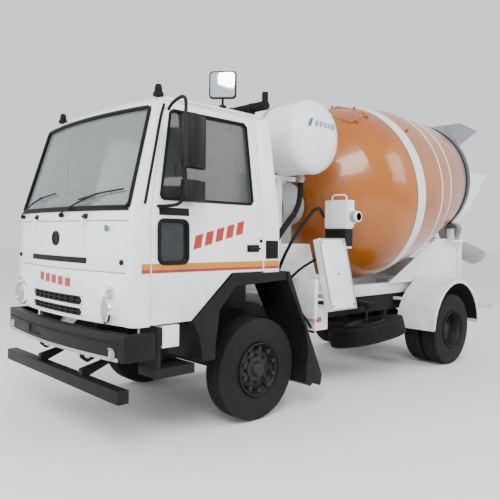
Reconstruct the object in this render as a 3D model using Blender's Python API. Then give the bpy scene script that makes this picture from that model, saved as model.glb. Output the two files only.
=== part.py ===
# Concrete mixer truck: a 4x2 forward-control chassis with a tilting cab and a small drum mixer.
# Vehicle frame while modelling: front is -Y, the left side is +X, +Z is up, the ground is z = 0 and
# the front axle is at y = 0. The empty "vehicle" then moves it all so that the origin lies under the
# middle of the whole machine's box. Lengths are metres.
import math

import bmesh
import bpy
from mathutils import Matrix, Vector

# Overall sizes
WHEELBASE = 3.75
CAB_HALF_WIDTH = 1.10
CAB_REAR = 0.20
CAB_BOTTOM = 1.03
ROOF_HEIGHT = 2.91
TRUCK_FRONT = -1.605  # foremost point of the bumper
MIRROR_OUTER = 1.27  # outermost point of the mirror on the left door
GUARD_HALF_WIDTH = 1.12
DRUM_RADIUS = 1.17  # the outermost part on the right-hand side, which has no mirror

# Clearances
SEAT_GAP = 0.0003  # between pieces that rest on each other
PANEL_GAP = 0.006  # between a moving panel and its opening
PLATE = 0.008  # folded steel plate

# Chassis
FRAME_HALF = 0.43
RAIL_WIDTH = 0.07
RAIL_HEIGHT = 0.225
FRAME_TOP = 0.975
FRAME_FRONT = -1.36
FRAME_REAR = 4.98
SUBFRAME_HEIGHT = 0.15

# Wheels
TYRE_RADIUS = 0.49
TYRE_WIDTH = 0.235
RIM_RADIUS = 0.254
RIM_SHEET = 0.016
FRONT_TYRE_X = 0.9125
TWIN_X = 0.83
TWIN_SPACING = 0.265
KINGPIN_X = 0.78
SPINDLE_RADIUS = 0.04
TYRE_STEPS = 24

# Cab
CAB_WALL = 0.045
FRONT_SKIN = 0.030
FRONT_BOW = 0.125
WAIST = 1.93
FLAP_TOP = 1.853
FLAP_BOTTOM = 1.446
PANEL_HALF_WIDTH = 1.0
ARCH_TOP = 1.41
DOOR_FRONT = -1.274
DOOR_REAR = -0.04
DOOR_SLANT = 0.176  # the door's rear edge recedes outwards, so that it swings clear of its pillar
TILT_PIVOT_Y = -1.45
TILT_PIVOT_Z = 0.72
TILT_PIN = 0.020
SCREEN_SHEET = 0.006
MIRROR_TUBE = 0.014

# Drum
DRUM_TILT = math.radians(9.6)
DRUM_BASE_Z = 1.90  # height of the drum's axis above the front axle
DRUM_SHEET = 0.008
DRUM_STEPS = 40
DRUM_FRONT = 1.54  # along the axis
DRUM_MOUTH = 4.95
RING_AT = 4.62
RING_RADIUS = 0.875
RING_WIDTH = 0.09
ROLLER_RADIUS = 0.115
ROLLER_ANGLE = math.radians(36)  # each roller's place round the ring, from straight below

# Water tank
TANK_RADIUS = 0.39
TANK_STEPS = 28
TANK_Y = 0.93
TANK_Z = 2.81
TANK_HALF = 0.86

# Chute
CHUTE_PIVOT_Y = 5.22
CHUTE_PIVOT_Z = 1.50
CHUTE_YAW = math.radians(-10)
CHUTE_PITCH = math.radians(17)
CHUTE_RADIUS = 0.23
CHUTE_LENGTH = 1.05
CHUTE_SHEET = 0.010
LIFT_PIN = 0.015

for old in list(bpy.data.objects):
    bpy.data.objects.remove(old)


# ---------------------------------------------------------------- materials
def material(name, colour, roughness, metallic=0.0, alpha=1.0):
    made = bpy.data.materials.new(name)
    made.use_nodes = True
    shader = made.node_tree.nodes["Principled BSDF"]
    shader.inputs["Base Color"].default_value = (*colour, 1.0)
    shader.inputs["Roughness"].default_value = roughness
    shader.inputs["Metallic"].default_value = metallic
    shader.inputs["Alpha"].default_value = alpha
    return made


WHITE = material("white_paint", (0.80, 0.82, 0.85), 0.35)
ORANGE = material("orange_paint", (0.72, 0.22, 0.02), 0.35)
BLACK = material("black_plastic", (0.03, 0.03, 0.035), 0.55)
CHASSIS = material("chassis_paint", (0.05, 0.05, 0.055), 0.60)
GREY = material("grey_paint", (0.42, 0.44, 0.46), 0.45)
RUBBER = material("tyre_rubber", (0.025, 0.025, 0.027), 0.85)
RIM = material("wheel_paint", (0.06, 0.06, 0.065), 0.55)
GLASS = material("glass", (0.55, 0.62, 0.62), 0.05, alpha=0.35)
FABRIC = material("seat_fabric", (0.10, 0.10, 0.12), 0.90)
STEEL = material("bare_steel", (0.45, 0.44, 0.42), 0.40, 0.8)


# ---------------------------------------------------------------- shaping helpers
def mesh_object(name, points, faces):
    mesh = bpy.data.meshes.new(name)
    mesh.from_pydata([tuple(p) for p in points], [], faces)
    shape = bmesh.new()
    shape.from_mesh(mesh)
    bmesh.ops.remove_doubles(shape, verts=shape.verts, dist=1e-6)
    bmesh.ops.recalc_face_normals(shape, faces=shape.faces)
    if shape.calc_volume(signed=True) < 0:
        bmesh.ops.reverse_faces(shape, faces=shape.faces)
    shape.to_mesh(mesh)
    shape.free()
    obj = bpy.data.objects.new(name, mesh)
    bpy.context.scene.collection.objects.link(obj)
    return obj


def box(lo, hi, name="lump"):
    x, y, z = zip(lo, hi)
    points = [(x[i], y[j], z[k]) for k in (0, 1) for j in (0, 1) for i in (0, 1)]
    faces = [(0, 2, 3, 1), (4, 5, 7, 6), (0, 1, 5, 4), (2, 6, 7, 3), (0, 4, 6, 2), (1, 3, 7, 5)]
    return mesh_object(name, points, faces)


def is_flat(*corners):
    a, b, c, d = [Vector(corner) for corner in corners]
    normal = (b - a).cross(c - a)
    return abs(normal.dot(d - a)) <= 1e-6 * max(normal.length, 1e-9)


def loft(loops, name="lump"):
    # A closed solid through loops of equally many points, capped at both ends.
    count = len(loops[0])
    points = [p for loop in loops for p in loop]
    faces = [tuple(range(count)), tuple(range(len(points) - count, len(points)))]
    for level in range(len(loops) - 1):
        for i in range(count):
            j = (i + 1) % count
            low = level * count
            a, b, c, d = low + i, low + j, low + count + j, low + count + i
            if is_flat(points[a], points[b], points[c], points[d]):
                faces.append((a, b, c, d))
            else:
                faces += [(a, b, c), (a, c, d)]
    return mesh_object(name, points, faces)


def prism(outline, axis, low, high, name="lump"):
    # An outline of (first, second) coordinates in the plane across an axis, extruded along it.
    def place(a, b, along):
        return {"X": (along, a, b), "Y": (a, along, b), "Z": (a, b, along)}[axis]

    return loft([[place(a, b, along) for a, b in outline] for along in (low, high)], name)


def turned(profile, steps, name="lump", closed=True):
    # A profile of (along, radius) points turned about the X axis; points on the axis become poles.
    rings = []
    points = []
    for along, radius in profile:
        if radius < 1e-6:
            rings.append([len(points)] * steps)
            points.append((along, 0.0, 0.0))
            continue
        rings.append([len(points) + i for i in range(steps)])
        for i in range(steps):
            turn = 2 * math.pi * i / steps
            points.append((along, radius * math.cos(turn), radius * math.sin(turn)))
    faces = []
    spans = len(rings) if closed else len(rings) - 1
    for k in range(spans):
        a, b = rings[k], rings[(k + 1) % len(rings)]
        for i in range(steps):
            j = (i + 1) % steps
            corners = list(dict.fromkeys((a[i], a[j], b[j], b[i])))
            if len(corners) > 2:
                faces.append(tuple(corners))
    return mesh_object(name, points, faces)


def rod(start, end, radius, steps=12, name="lump"):
    start, end = Vector(start), Vector(end)
    length = (end - start).length
    obj = turned([(0, 0), (0, radius), (length, radius), (length, 0)], steps, name, closed=False)
    turn = Vector((1, 0, 0)).rotation_difference(end - start).to_matrix().to_4x4()
    obj.data.transform(Matrix.Translation(start) @ turn)
    return obj


def bore_for(radius, steps=12):
    # A faceted hole whose flats stay clear of a pin of this radius at any turn.
    return (radius + SEAT_GAP) / math.cos(math.pi / steps)


def pipe(route, radius, name="lump", sides=1, between=3):
    # A round bar along a smooth curve through the route's points.
    curve = bpy.data.curves.new(name, "CURVE")
    curve.dimensions = "3D"
    curve.bevel_depth = radius
    curve.bevel_resolution = sides
    curve.use_fill_caps = True
    fine = smooth_route([Vector(p) for p in route], between)
    spline = curve.splines.new("POLY")
    spline.points.add(len(fine) - 1)
    for point, place in zip(spline.points, fine):
        point.co = (*place, 1.0)
    obj = bpy.data.objects.new(name, curve)
    bpy.context.scene.collection.objects.link(obj)
    mesh = bpy.data.meshes.new_from_object(obj)
    made = bpy.data.objects.new(name, mesh)
    bpy.context.scene.collection.objects.link(made)
    bpy.data.objects.remove(obj)
    clean(made)
    return made


def smooth_route(points, between):
    # Catmull-Rom curve through the points.
    fine = []
    for i in range(len(points) - 1):
        p0 = points[max(i - 1, 0)]
        p1, p2 = points[i], points[i + 1]
        p3 = points[min(i + 2, len(points) - 1)]
        for step in range(between):
            t = step / between
            fine.append(
                0.5
                * (
                    2 * p1
                    + (p2 - p0) * t
                    + (2 * p0 - 5 * p1 + 4 * p2 - p3) * t**2
                    + (3 * p1 - p0 - 3 * p2 + p3) * t**3
                )
            )
    fine.append(points[-1])
    return fine


def clean(obj):
    shape = bmesh.new()
    shape.from_mesh(obj.data)
    bmesh.ops.remove_doubles(shape, verts=shape.verts, dist=1e-6)
    bmesh.ops.recalc_face_normals(shape, faces=shape.faces)
    shape.to_mesh(obj.data)
    shape.free()


def combine(base, others, operation):
    for other in others:
        step = base.modifiers.new("combine", "BOOLEAN")
        step.operation = operation
        step.object = other
        bpy.context.view_layer.update()
        graph = bpy.context.evaluated_depsgraph_get()
        mesh = bpy.data.meshes.new_from_object(base.evaluated_get(graph))
        base.modifiers.clear()
        base.data = mesh
        bpy.data.objects.remove(other)
    return base


def union(*lumps):
    return combine(lumps[0], lumps[1:], "UNION")


def cut(base, *cutters):
    return combine(base, cutters, "DIFFERENCE")


def common(base, other):
    return combine(base, [other], "INTERSECT")


def flipped(obj):
    # The same shape on the vehicle's other side.
    obj.data.transform(Matrix.Diagonal((-1, 1, 1, 1)))
    obj.data.flip_normals()
    return obj


def moved(obj, matrix):
    obj.data.transform(matrix)
    return obj


def arc(centre, radius, start, end, steps):
    # Points on a circle from one angle to another, in degrees.
    angles = [math.radians(start + (end - start) * i / steps) for i in range(steps + 1)]
    return [(centre[0] + radius * math.cos(a), centre[1] + radius * math.sin(a)) for a in angles]


# ---------------------------------------------------------------- the empties that carry the pieces
BOX_REAR = CHUTE_PIVOT_Y + 1.10  # end of the chute, set below from its own length
VEHICLE_SHIFT = Vector((-(MIRROR_OUTER - DRUM_RADIUS) / 2, -(TRUCK_FRONT + BOX_REAR) / 2, 0))


def empty(name, place, parent=None):
    made = bpy.data.objects.new(name, None)
    bpy.context.scene.collection.objects.link(made)
    made.parent = parent
    made.location = place
    return made


VEHICLE = empty("vehicle", VEHICLE_SHIFT)


def joint_empty(name, place):
    return empty(name, place, VEHICLE)


def finish(obj, name, paint, carrier=None, smooth=None):
    # Names a finished piece and hangs it on its joint's empty, with its origin there.
    obj.name = name
    obj.data.name = name
    obj.data.materials.clear()
    obj.data.materials.append(paint)
    if carrier and carrier is not VEHICLE:
        obj.data.transform(Matrix.Translation(-carrier.location))
    obj.parent = carrier or VEHICLE
    if smooth:
        obj.data.shade_smooth()
        obj.data.set_sharp_from_angle(angle=math.radians(smooth))
    return obj


# ---------------------------------------------------------------- chassis
rail_in = FRAME_HALF - RAIL_WIDTH
rail_bottom = FRAME_TOP - RAIL_HEIGHT
SUBFRAME_TOP = FRAME_TOP + SEAT_GAP + SUBFRAME_HEIGHT


def chassis_frame():
    lumps = []
    for side in (-1, 1):
        near, far = sorted((side * rail_in, side * FRAME_HALF))
        lumps.append(box((near, FRAME_FRONT, rail_bottom), (far, FRAME_REAR, FRAME_TOP)))
    for at in (-0.80, 1.25, 2.10, 3.02, 4.45, FRAME_REAR - 0.1):
        lumps.append(box((-rail_in - 0.01, at, 0.79), (rail_in + 0.01, at + 0.09, 0.94)))
    for side in (-1, 1):  # lugs that carry the cab's tilt pivot
        near, far = sorted((side * 0.37, side * 0.42))
        lumps.append(
            prism([(-1.37, 0.76), (-1.335, 0.90), (-1.335, 0.70), (-1.44, 0.66), (-1.49, 0.70), (-1.49, 0.74),
                   (-1.46, 0.765)][::-1], "X", near, far)
        )
    frame = union(*lumps)
    reach = Vector((0.5, 0, 0))
    pivot = Vector((0, TILT_PIVOT_Y, TILT_PIVOT_Z))
    pin_hole = rod(pivot - reach, pivot + reach, bore_for(TILT_PIN))
    cut(frame, pin_hole)
    return finish(frame, "chassis_frame", CHASSIS)


def mixer_subframe():
    low = FRAME_TOP + SEAT_GAP
    lumps = []
    for side in (-1, 1):
        near, far = sorted((side * (rail_in - 0.005), side * (FRAME_HALF + 0.03)))
        lumps.append(box((near, 0.66, low), (far, FRAME_REAR - 0.02, SUBFRAME_TOP)))
    for at in (0.68, 1.75, 2.9, 4.0, FRAME_REAR - 0.14):
        lumps.append(box((-rail_in, at, low + 0.02), (rail_in, at + 0.10, SUBFRAME_TOP - 0.02)))
    return finish(union(*lumps), "mixer_subframe", WHITE)


def front_bumper():
    def outline(inset, half, ends):
        front = [(half * t, TRUCK_FRONT + inset + 0.10 * t * t) for t in (-1, -0.8, -0.5, -0.2, 0.2, 0.5, 0.8, 1)]
        return [(-half, ends)] + front + [(half, ends)]

    outer = prism(outline(0.0, 1.10, -1.22), "Z", 0.77, 0.98)
    inside = prism(outline(0.035, 1.065, -1.10), "Z", 0.70, 0.955)
    above = prism(outline(0.09, 1.04, -1.10), "Z", 0.90, 1.10)
    lumps = [cut(outer, inside, above)]
    for side in (-1, 1):  # brackets back to the frame rails
        near, far = sorted((side * (FRAME_HALF + SEAT_GAP), side * 0.47))
        lumps.append(box((near, -1.575, 0.82), (far, -1.16, 0.93)))
    bumper = union(*lumps)
    recess = box((-0.42, -1.70, 0.83), (-0.16, TRUCK_FRONT + 0.03, 0.90))
    return finish(cut(bumper, recess), "front_bumper", BLACK)


def underrun_bar():
    lumps = [box((-1.07, -1.54, 0.455), (1.07, -1.44, 0.56))]
    for side in (-1, 1):
        near, far = sorted((side * (rail_in + 0.01), side * FRAME_HALF))
        top = rail_bottom - SEAT_GAP
        lumps.append(prism([(-1.50, 0.54), (-1.46, 0.535), (-1.05, 0.70), (-1.05, top), (-1.25, top), (-1.30, 0.655),
                            (-1.50, 0.61)], "X", near, far))
    return finish(union(*lumps), "underrun_bar", BLACK)


def engine_block():
    lumps = [
        box((-0.30, -0.38, 0.63), (0.30, 0.50, 1.32)),
        box((-0.19, 0.45, 0.62), (0.19, 1.15, 0.93)),
        box((-rail_in + SEAT_GAP, 0.02, 0.80), (rail_in - SEAT_GAP, 0.12, 0.90)),
    ]
    block = union(*lumps)
    shaft_slope = 0.23 / (DIFF_NOSE_Y - 1.10)
    shaft = rod((0, 1.10, 0.74), (0, DIFF_NOSE_Y - SEAT_GAP - 0.05 * shaft_slope, AXLE_Z + 0.02), 0.05, 12)
    return finish(union(block, shaft), "engine_block", CHASSIS)


AXLE_Z = TYRE_RADIUS
DIFF_NOSE_Y = WHEELBASE - 0.40


def leaf_spring(side, axle_y, half_length, eye_z, axle_top):
    # A flat bow from eye to eye, clamped on the axle, with its hangers up to the rail.
    near, far = sorted((side * rail_in, side * FRAME_HALF))
    rise = eye_z - axle_top
    steps = [i / 4 for i in range(-4, 5)]
    lower = [(axle_y + half_length * t, axle_top + rise * t * t) for t in steps]
    upper = [(y, z + 0.065 - 0.035 * abs(t)) for (y, z), t in zip(lower, steps)]
    lumps = [prism(lower + upper[::-1], "X", near, far)]
    for end in (-1, 1):
        at = axle_y + end * (half_length - 0.03)
        lumps.append(box((near, at - 0.03, eye_z - 0.03), (far, at + 0.03, rail_bottom - SEAT_GAP)))
    lumps.append(box((near, axle_y - 0.07, axle_top - 0.10), (far, axle_y + 0.07, axle_top + 0.09)))
    return lumps


def front_axle():
    beam = prism(
        [(-KINGPIN_X, 0.44), (-0.70, 0.44), (-0.64, 0.40), (0.64, 0.40), (0.70, 0.44), (KINGPIN_X, 0.44),
         (KINGPIN_X, 0.54), (0.68, 0.54), (0.60, 0.49), (-0.60, 0.49), (-0.68, 0.54), (-KINGPIN_X, 0.54)],
        "Y", -0.045, 0.045)
    lumps = [beam]
    for side in (-1, 1):
        lumps += leaf_spring(side, 0.0, 0.72, 0.66, 0.50)
        lumps.append(rod((side * KINGPIN_X, 0, 0.4303), (side * KINGPIN_X, 0, 0.5497), 0.052))
    return finish(union(*lumps), "front_axle", CHASSIS)


def rear_axle():
    end = TWIN_X - 0.27
    profile = [(-end, 0), (-end, 0.075), (-0.24, 0.085), (-0.14, 0.20), (0.14, 0.20), (0.24, 0.085), (end, 0.075),
               (end, 0)]
    housing = turned(profile, 16, closed=False)
    housing.data.transform(Matrix.Translation((0, WHEELBASE, AXLE_Z)))
    lumps = [housing, rod((0, WHEELBASE, AXLE_Z), (0, DIFF_NOSE_Y, AXLE_Z + 0.02), 0.09, 12)]
    for side in (-1, 1):
        lumps += leaf_spring(side, WHEELBASE, 0.72, 0.66, 0.545)
    return finish(union(*lumps), "rear_axle", CHASSIS)


def entry_step(side, name):
    def slab(x0, x1, y0, y1, z0, z1):
        near, far = sorted((side * x0, side * x1))
        return box((near, y0, z0), (far, y1, z1))

    lumps = [
        slab(0.82, 1.085, -1.20, -0.82, 0.60, 0.68),  # lower tread
        slab(0.82, 0.85, -1.19, -0.96, 0.67, 1.0),
        slab(0.83, 1.08, -1.195, -1.16, 0.66, 0.99),
        slab(0.84, 1.083, -1.20, -0.98, 0.86, 1.005),  # box below the door
        slab(FRAME_HALF + SEAT_GAP, 0.845, -1.06, -0.98, 0.78, 0.92),  # arm from the rail
    ]
    return finish(union(*lumps), name, BLACK)


def fuel_tank():
    body = prism([(-1.06, 0.52), (-1.00, 0.46), (-0.58, 0.46), (-0.52, 0.52), (-0.52, 0.86), (-0.58, 0.92),
                  (-1.00, 0.92), (-1.06, 0.86)], "Y", 1.10, 2.05)
    straps = [box((-0.53, at, 0.80), (-FRAME_HALF - SEAT_GAP, at + 0.06, 0.90)) for at in (1.25, 1.82)]
    return finish(union(body, *straps), "fuel_tank", WHITE)


def silencer():
    drum = rod((-0.74, 2.30, 0.68), (-0.74, 2.98, 0.68), 0.13, 16)
    arm = box((-0.74, 2.58, 0.78), (-FRAME_HALF - SEAT_GAP, 2.66, 0.86))
    tail = rod((-0.74, 2.95, 0.68), (-0.74, 3.08, 0.68), 0.04)
    return finish(union(drum, arm, tail), "silencer", STEEL)


def battery_box():
    body = box((0.56, 0.92, 0.74), (0.93, 1.14, 1.00))
    rack = box((0.56, 0.88, 0.87), (0.96, 0.93, 1.30))
    top = box((0.56, 0.90, 1.16), (0.93, 1.12, 1.29))
    arm = box((FRAME_HALF + SEAT_GAP, 0.95, 0.82), (0.57, 1.05, 0.92))
    return finish(union(body, rack, top, arm), "battery_box", WHITE)


def tyre_profile(centre=0.0):
    half = TYRE_WIDTH / 2
    outer = [(0.86 * half, RIM_RADIUS), (half, RIM_RADIUS + 0.085), (half, RIM_RADIUS + 0.145),
             (0.92 * half, TYRE_RADIUS - 0.028), (0.74 * half, TYRE_RADIUS)]
    profile = [(centre - a, r) for a, r in outer] + [(centre + a, r) for a, r in reversed(outer)]
    return profile


def spare_wheel():
    tyre = turned(tyre_profile(), TYRE_STEPS)
    disc = turned([(-0.05, 0), (-0.05, 0.12), (0.02, 0.20), (-0.09, RIM_RADIUS - 0.02), (-0.09, RIM_RADIUS + 0.02),
                   (0.09, RIM_RADIUS + 0.02), (0.09, RIM_RADIUS - 0.02), (0.045, 0.20), (-0.02, 0.12), (-0.02, 0)],
                  TYRE_STEPS, closed=False)
    wheel = union(tyre, disc)
    turn = Matrix.Rotation(math.radians(90), 4, "Y")
    lean = Matrix.Rotation(math.radians(8), 4, "X") @ Matrix.Rotation(math.radians(-12), 4, "Y")
    moved(wheel, Matrix.Translation((0.64, 2.30, 0.56)) @ lean @ turn)
    hanger = rod((0.64, 2.30, 0.55), (0.64, 2.30, 0.90), 0.02)
    arm = box((FRAME_HALF + SEAT_GAP, 2.25, 0.87), (0.70, 2.35, 0.93))
    return finish(union(wheel, hanger, arm), "spare_wheel", RUBBER)


# ---------------------------------------------------------------- mudguards
def front_mudguard(side, name):
    # The half behind the wheel, carried by the chassis, with its rubber flap.
    outer = [(0.268, ARCH_TOP), (0.30, ARCH_TOP), (0.62, 0.76), (0.82, 0.33), (0.80, 0.22), (0.72, 0.30),
             (0.64, 0.24), (0.57, 0.28)]
    inner = [(0.575, 0.48), (0.60, 0.60), (0.545, 0.84), (0.268, 1.33)]
    near, far = sorted((side * 0.62, side * GUARD_HALF_WIDTH))
    skin = prism(outer + inner, "X", near, far)
    a, b = sorted((side * (FRAME_HALF + SEAT_GAP), side * 0.65))
    arm = box((a, 0.53, 0.80), (b, 0.60, 0.88))
    return finish(union(skin, arm), name, BLACK)


def wheel_arch(side, name):
    # The half over and ahead of the wheel, carried by the cab.
    outer = [(-0.869, CAB_BOTTOM - SEAT_GAP), (-0.4294, ARCH_TOP - 2 * SEAT_GAP), (0.258, ARCH_TOP - 2 * SEAT_GAP),
             (0.258, 1.33), (-0.40, 1.30), (-0.58, 1.10), (-0.62, 0.80), (-0.62, 0.685), (-0.76, 0.685),
             (-0.80, 0.90)]
    near, far = sorted((side * 0.62, side * GUARD_HALF_WIDTH))
    skin = prism(outer, "X", near, far)
    return finish(skin, name, BLACK, CAB_PIVOT)


def rear_mudguard(side, name):
    centre = (WHEELBASE + 0.06, AXLE_Z + 0.01)
    outer = arc(centre, 0.68, 178, 2, 14)
    inner = arc(centre, 0.665, 2, 178, 14)
    near, far = sorted((side * 0.56, side * GUARD_HALF_WIDTH))
    sheet = prism(outer + inner, "X", near, far)
    lip_outer = arc(centre, 0.672, 177, 3, 14)
    lip_inner = arc(centre, 0.635, 3, 177, 14)
    a, b = sorted((side * (GUARD_HALF_WIDTH - 0.014), side * (GUARD_HALF_WIDTH - 0.001)))
    lip = prism(lip_outer + lip_inner, "X", a, b)
    c, d = sorted((side * (FRAME_HALF + SEAT_GAP), side * 0.66))
    arms = [rod((c if side > 0 else d, y, 0.90), (side * 0.66, y, 0.90), 0.022)
            for y in (centre[0] - 0.545, centre[0] + 0.545)]
    return finish(union(sheet, lip, *arms), name, WHITE)


def rear_bar():
    bar = box((-1.10, FRAME_REAR + 0.02, 0.68), (1.10, FRAME_REAR + 0.09, 0.77))
    arms = [box((x - 0.03, FRAME_REAR + SEAT_GAP, 0.70), (x + 0.03, FRAME_REAR + 0.03, 0.86)) for x in (-0.39, 0.39)]
    return finish(union(bar, *arms), "rear_bar", WHITE)


# ---------------------------------------------------------------- mixer
axis_turn = Matrix.Rotation(math.radians(90), 4, "Z")  # turned profiles run along X, the drum along Y
DRUM_FRAME = Matrix.Translation((0, 0, DRUM_BASE_Z)) @ Matrix.Rotation(DRUM_TILT, 4, "X") @ axis_turn
DRUM_AXIS = Vector((0, math.cos(DRUM_TILT), math.sin(DRUM_TILT)))


def on_drum_axis(along):
    return Vector((0, 0, DRUM_BASE_Z)) + DRUM_AXIS * along


def drum():
    outer = [(DRUM_FRONT, 0.30), (DRUM_FRONT + 0.13, 0.56), (2.03, 0.98), (2.31, 1.13), (2.61, DRUM_RADIUS), (2.78, DRUM_RADIUS),
             (3.32, 1.12), (3.70, 1.05), (RING_AT - RING_WIDTH / 2, 0.855), (RING_AT - RING_WIDTH / 2, RING_RADIUS),
             (RING_AT + RING_WIDTH / 2, RING_RADIUS), (RING_AT + RING_WIDTH / 2, 0.845), (DRUM_MOUTH, 0.66)]
    sheet = DRUM_SHEET
    inner = [(DRUM_MOUTH, 0.66 - sheet), (RING_AT, 0.845 - sheet), (3.70, 1.05 - sheet), (3.32, 1.12 - sheet),
             (2.78, DRUM_RADIUS - sheet), (2.61, DRUM_RADIUS - sheet), (2.315, 1.13 - sheet), (2.04, 0.98 - sheet),
             (DRUM_FRONT + 0.145, 0.55), (DRUM_FRONT + 0.03, 0.28)]
    shell = turned([(DRUM_FRONT, 0)] + outer + inner + [(DRUM_FRONT + 0.03, 0)], DRUM_STEPS, closed=False)
    moved(shell, DRUM_FRAME)
    return finish(shell, "drum", ORANGE, DRUM_PIVOT, smooth=25)


def drum_gearbox():
    low, high = DRUM_FRONT - 0.55, DRUM_FRONT - SEAT_GAP
    body = turned([(low, 0), (low, 0.13), (low + 0.18, 0.13), (low + 0.18, 0.24), (low + 0.40, 0.27),
                   (high - 0.04, 0.27), (high - 0.04, 0.22), (high, 0.22), (high, 0)], 20, closed=False)
    moved(body, DRUM_FRAME)
    place = on_drum_axis(DRUM_FRONT - 0.25)
    foot = box((-0.16, place.y - 0.10, SEAT_Z + SEAT_GAP), (0.16, place.y + 0.10, place.z))
    return finish(union(body, foot), "drum_gearbox", GREY, smooth=30)


SEAT_Z = 1.66  # the plate on the front pedestal that carries the gearbox


def front_pedestal():
    low = SUBFRAME_TOP + SEAT_GAP
    lumps = [box((-0.40, 0.94, SEAT_Z - 0.03), (0.40, 1.42, SEAT_Z))]
    for side in (-1, 1):
        near, far = sorted((side * 0.36, side * 0.40))
        lumps.append(prism([(0.80, low), (1.62, low), (1.44, SEAT_Z), (0.92, SEAT_Z)], "X", near, far))
        near, far = sorted((side * 0.39, side * 0.46))
        tank_low = TANK_Z - TANK_RADIUS
        lumps.append(box((near, 0.80, low), (far, 0.88, tank_low - 0.01)))
        lumps.append(box((near, 0.76, tank_low - 0.05), (far, 1.10, tank_low)))
    lumps.append(box((-0.45, 0.81, 2.28), (0.45, 0.87, 2.38)))
    pedestal = union(*lumps)
    seat = rod((-0.6, TANK_Y, TANK_Z), (0.6, TANK_Y, TANK_Z), TANK_RADIUS + SEAT_GAP, TANK_STEPS)
    return finish(cut(pedestal, seat), "front_pedestal", WHITE)


def water_tank():
    dome = 0.13
    profile = [(-TANK_HALF - dome, 0), (-TANK_HALF - 0.11, 0.15), (-TANK_HALF - 0.07, 0.27),
               (-TANK_HALF, TANK_RADIUS - 0.02), (-TANK_HALF + 0.02, TANK_RADIUS)]
    profile += [(-a, r) for a, r in reversed(profile)]
    tank = turned(profile, TANK_STEPS, closed=False)
    moved(tank, Matrix.Translation((0, TANK_Y, TANK_Z)))
    filler = rod((-0.25, TANK_Y, TANK_Z + 0.3), (-0.25, TANK_Y, TANK_Z + TANK_RADIUS + 0.03), 0.07)
    outlet = rod((0.60, TANK_Y + 0.10, TANK_Z - 0.3), (0.60, TANK_Y + 0.10, TANK_Z - TANK_RADIUS - 0.08), 0.04)
    return finish(union(tank, filler, outlet), "water_tank", WHITE, smooth=30)


def control_box():
    # Oil cooler and its housing, on a bracket from the subframe, with a filter on its outer face.
    lumps = [
        box((0.60, 1.47, 1.86), (0.92, 1.60, 2.17)),
        box((0.61, 1.475, 1.62), (0.90, 1.595, 1.87)),
        box((0.91, 1.49, 1.90), (0.95, 1.59, 2.06)),
        rod((0.94, 1.54, 1.98), (1.03, 1.54, 1.98), 0.062, 12),
    ]
    low = SUBFRAME_TOP + SEAT_GAP
    lumps.append(prism([(0.41, low), (0.455, low), (0.72, 1.63), (0.66, 1.63)], "Y", 1.50, 1.57))
    return finish(union(*lumps), "control_box", WHITE)


def extension_chute():
    # A loose chute section, stowed on the left side: a shallow tray, its back outwards.
    width, height, depth, sheet = 0.45, 0.79, 0.085, 0.012
    tray = box((-depth, 0, 0), (0, width, height))
    hollow = box((-depth - 0.1, sheet, -0.1), (-sheet, width - sheet, height + 0.1))
    tray = cut(tray, hollow)
    lean = Matrix.Rotation(math.atan2(-0.19, 0.765), 4, "Y")
    moved(tray, Matrix.Translation((1.10, 0.99, 0.965)) @ lean)
    bracket = box((FRAME_HALF + 0.03 + SEAT_GAP, 1.22, 1.06), (1.064, 1.28, 1.10))
    return finish(union(tray, bracket), "extension_chute", WHITE)


ROLLER_SHELF = 1.745  # top of the pedestal's side plates


def rear_pedestal():
    low = SUBFRAME_TOP + SEAT_GAP
    side_plate = [(2.95, low + 0.001), (4.96, low + 0.001), (4.96, ROLLER_SHELF), (4.22, ROLLER_SHELF)]
    lumps = []
    for side in (-1, 1):
        near, far = sorted((side * 0.52, side * 0.535))
        lumps.append(prism(side_plate, "X", near, far))
        near, far = sorted((side * (rail_in + 0.01), side * 0.53))
        lumps.append(box((near, 3.20, low), (far, 4.955, low + 0.04)))
        near, far = sorted((side * 0.44, side * 0.58))
        lumps.append(box((near, 4.90, low + 0.002), (far, 4.965, ROLLER_SHELF - 0.003)))
        near, far = sorted((side * 0.50, side * 0.67))
        lumps.append(box((near, 4.50, ROLLER_SHELF - 0.045), (far, 4.88, ROLLER_SHELF - 0.015)))
        turn = Matrix.Translation(roller_place(side)) @ Matrix.Rotation(DRUM_TILT, 4, "X")
        for end in (-1, 1):  # ears at both ends of a roller's shaft
            front, back = sorted((end * (0.10 + SEAT_GAP), end * 0.118))
            lumps.append(moved(box((-0.055, front, -0.17), (0.055, back, 0.04)), turn))
    lumps.append(box((-0.525, 4.885, low + 0.003), (0.525, 4.95, 1.42)))
    lumps.append(box((-0.525, 4.30, low + 0.003), (0.525, 4.38, 1.36)))
    # Post and shelf that carry the chute
    lumps.append(rod((0, CHUTE_PIVOT_Y, 1.16), (0, CHUTE_PIVOT_Y, CHUTE_PIVOT_Z - 0.10), 0.07, 16))
    lumps.append(box((-0.12, 4.90, 1.17), (0.12, CHUTE_PIVOT_Y + 0.03, 1.27)))
    return finish(union(*lumps), "rear_pedestal", WHITE)


def roller_place(side):
    # Below the ring, along the drum's own radius.
    across = Vector((side * math.sin(ROLLER_ANGLE), 0, 0))
    down = Vector((0, math.sin(DRUM_TILT), -math.cos(DRUM_TILT))) * math.cos(ROLLER_ANGLE)
    return on_drum_axis(RING_AT) + (across + down) * (RING_RADIUS + ROLLER_RADIUS + 0.001)


def roller(side, name, carrier):
    wheel = turned([(-0.10, 0), (-0.10, 0.025), (-0.05, 0.025), (-0.05, ROLLER_RADIUS), (0.05, ROLLER_RADIUS),
                    (0.05, 0.025), (0.10, 0.025), (0.10, 0)], 24, closed=False)
    turn = Matrix.Rotation(DRUM_TILT, 4, "X") @ axis_turn
    moved(wheel, Matrix.Translation(roller_place(side)) @ turn)
    return finish(wheel, name, STEEL, carrier)


FUNNEL_TOP = 2.86


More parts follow.
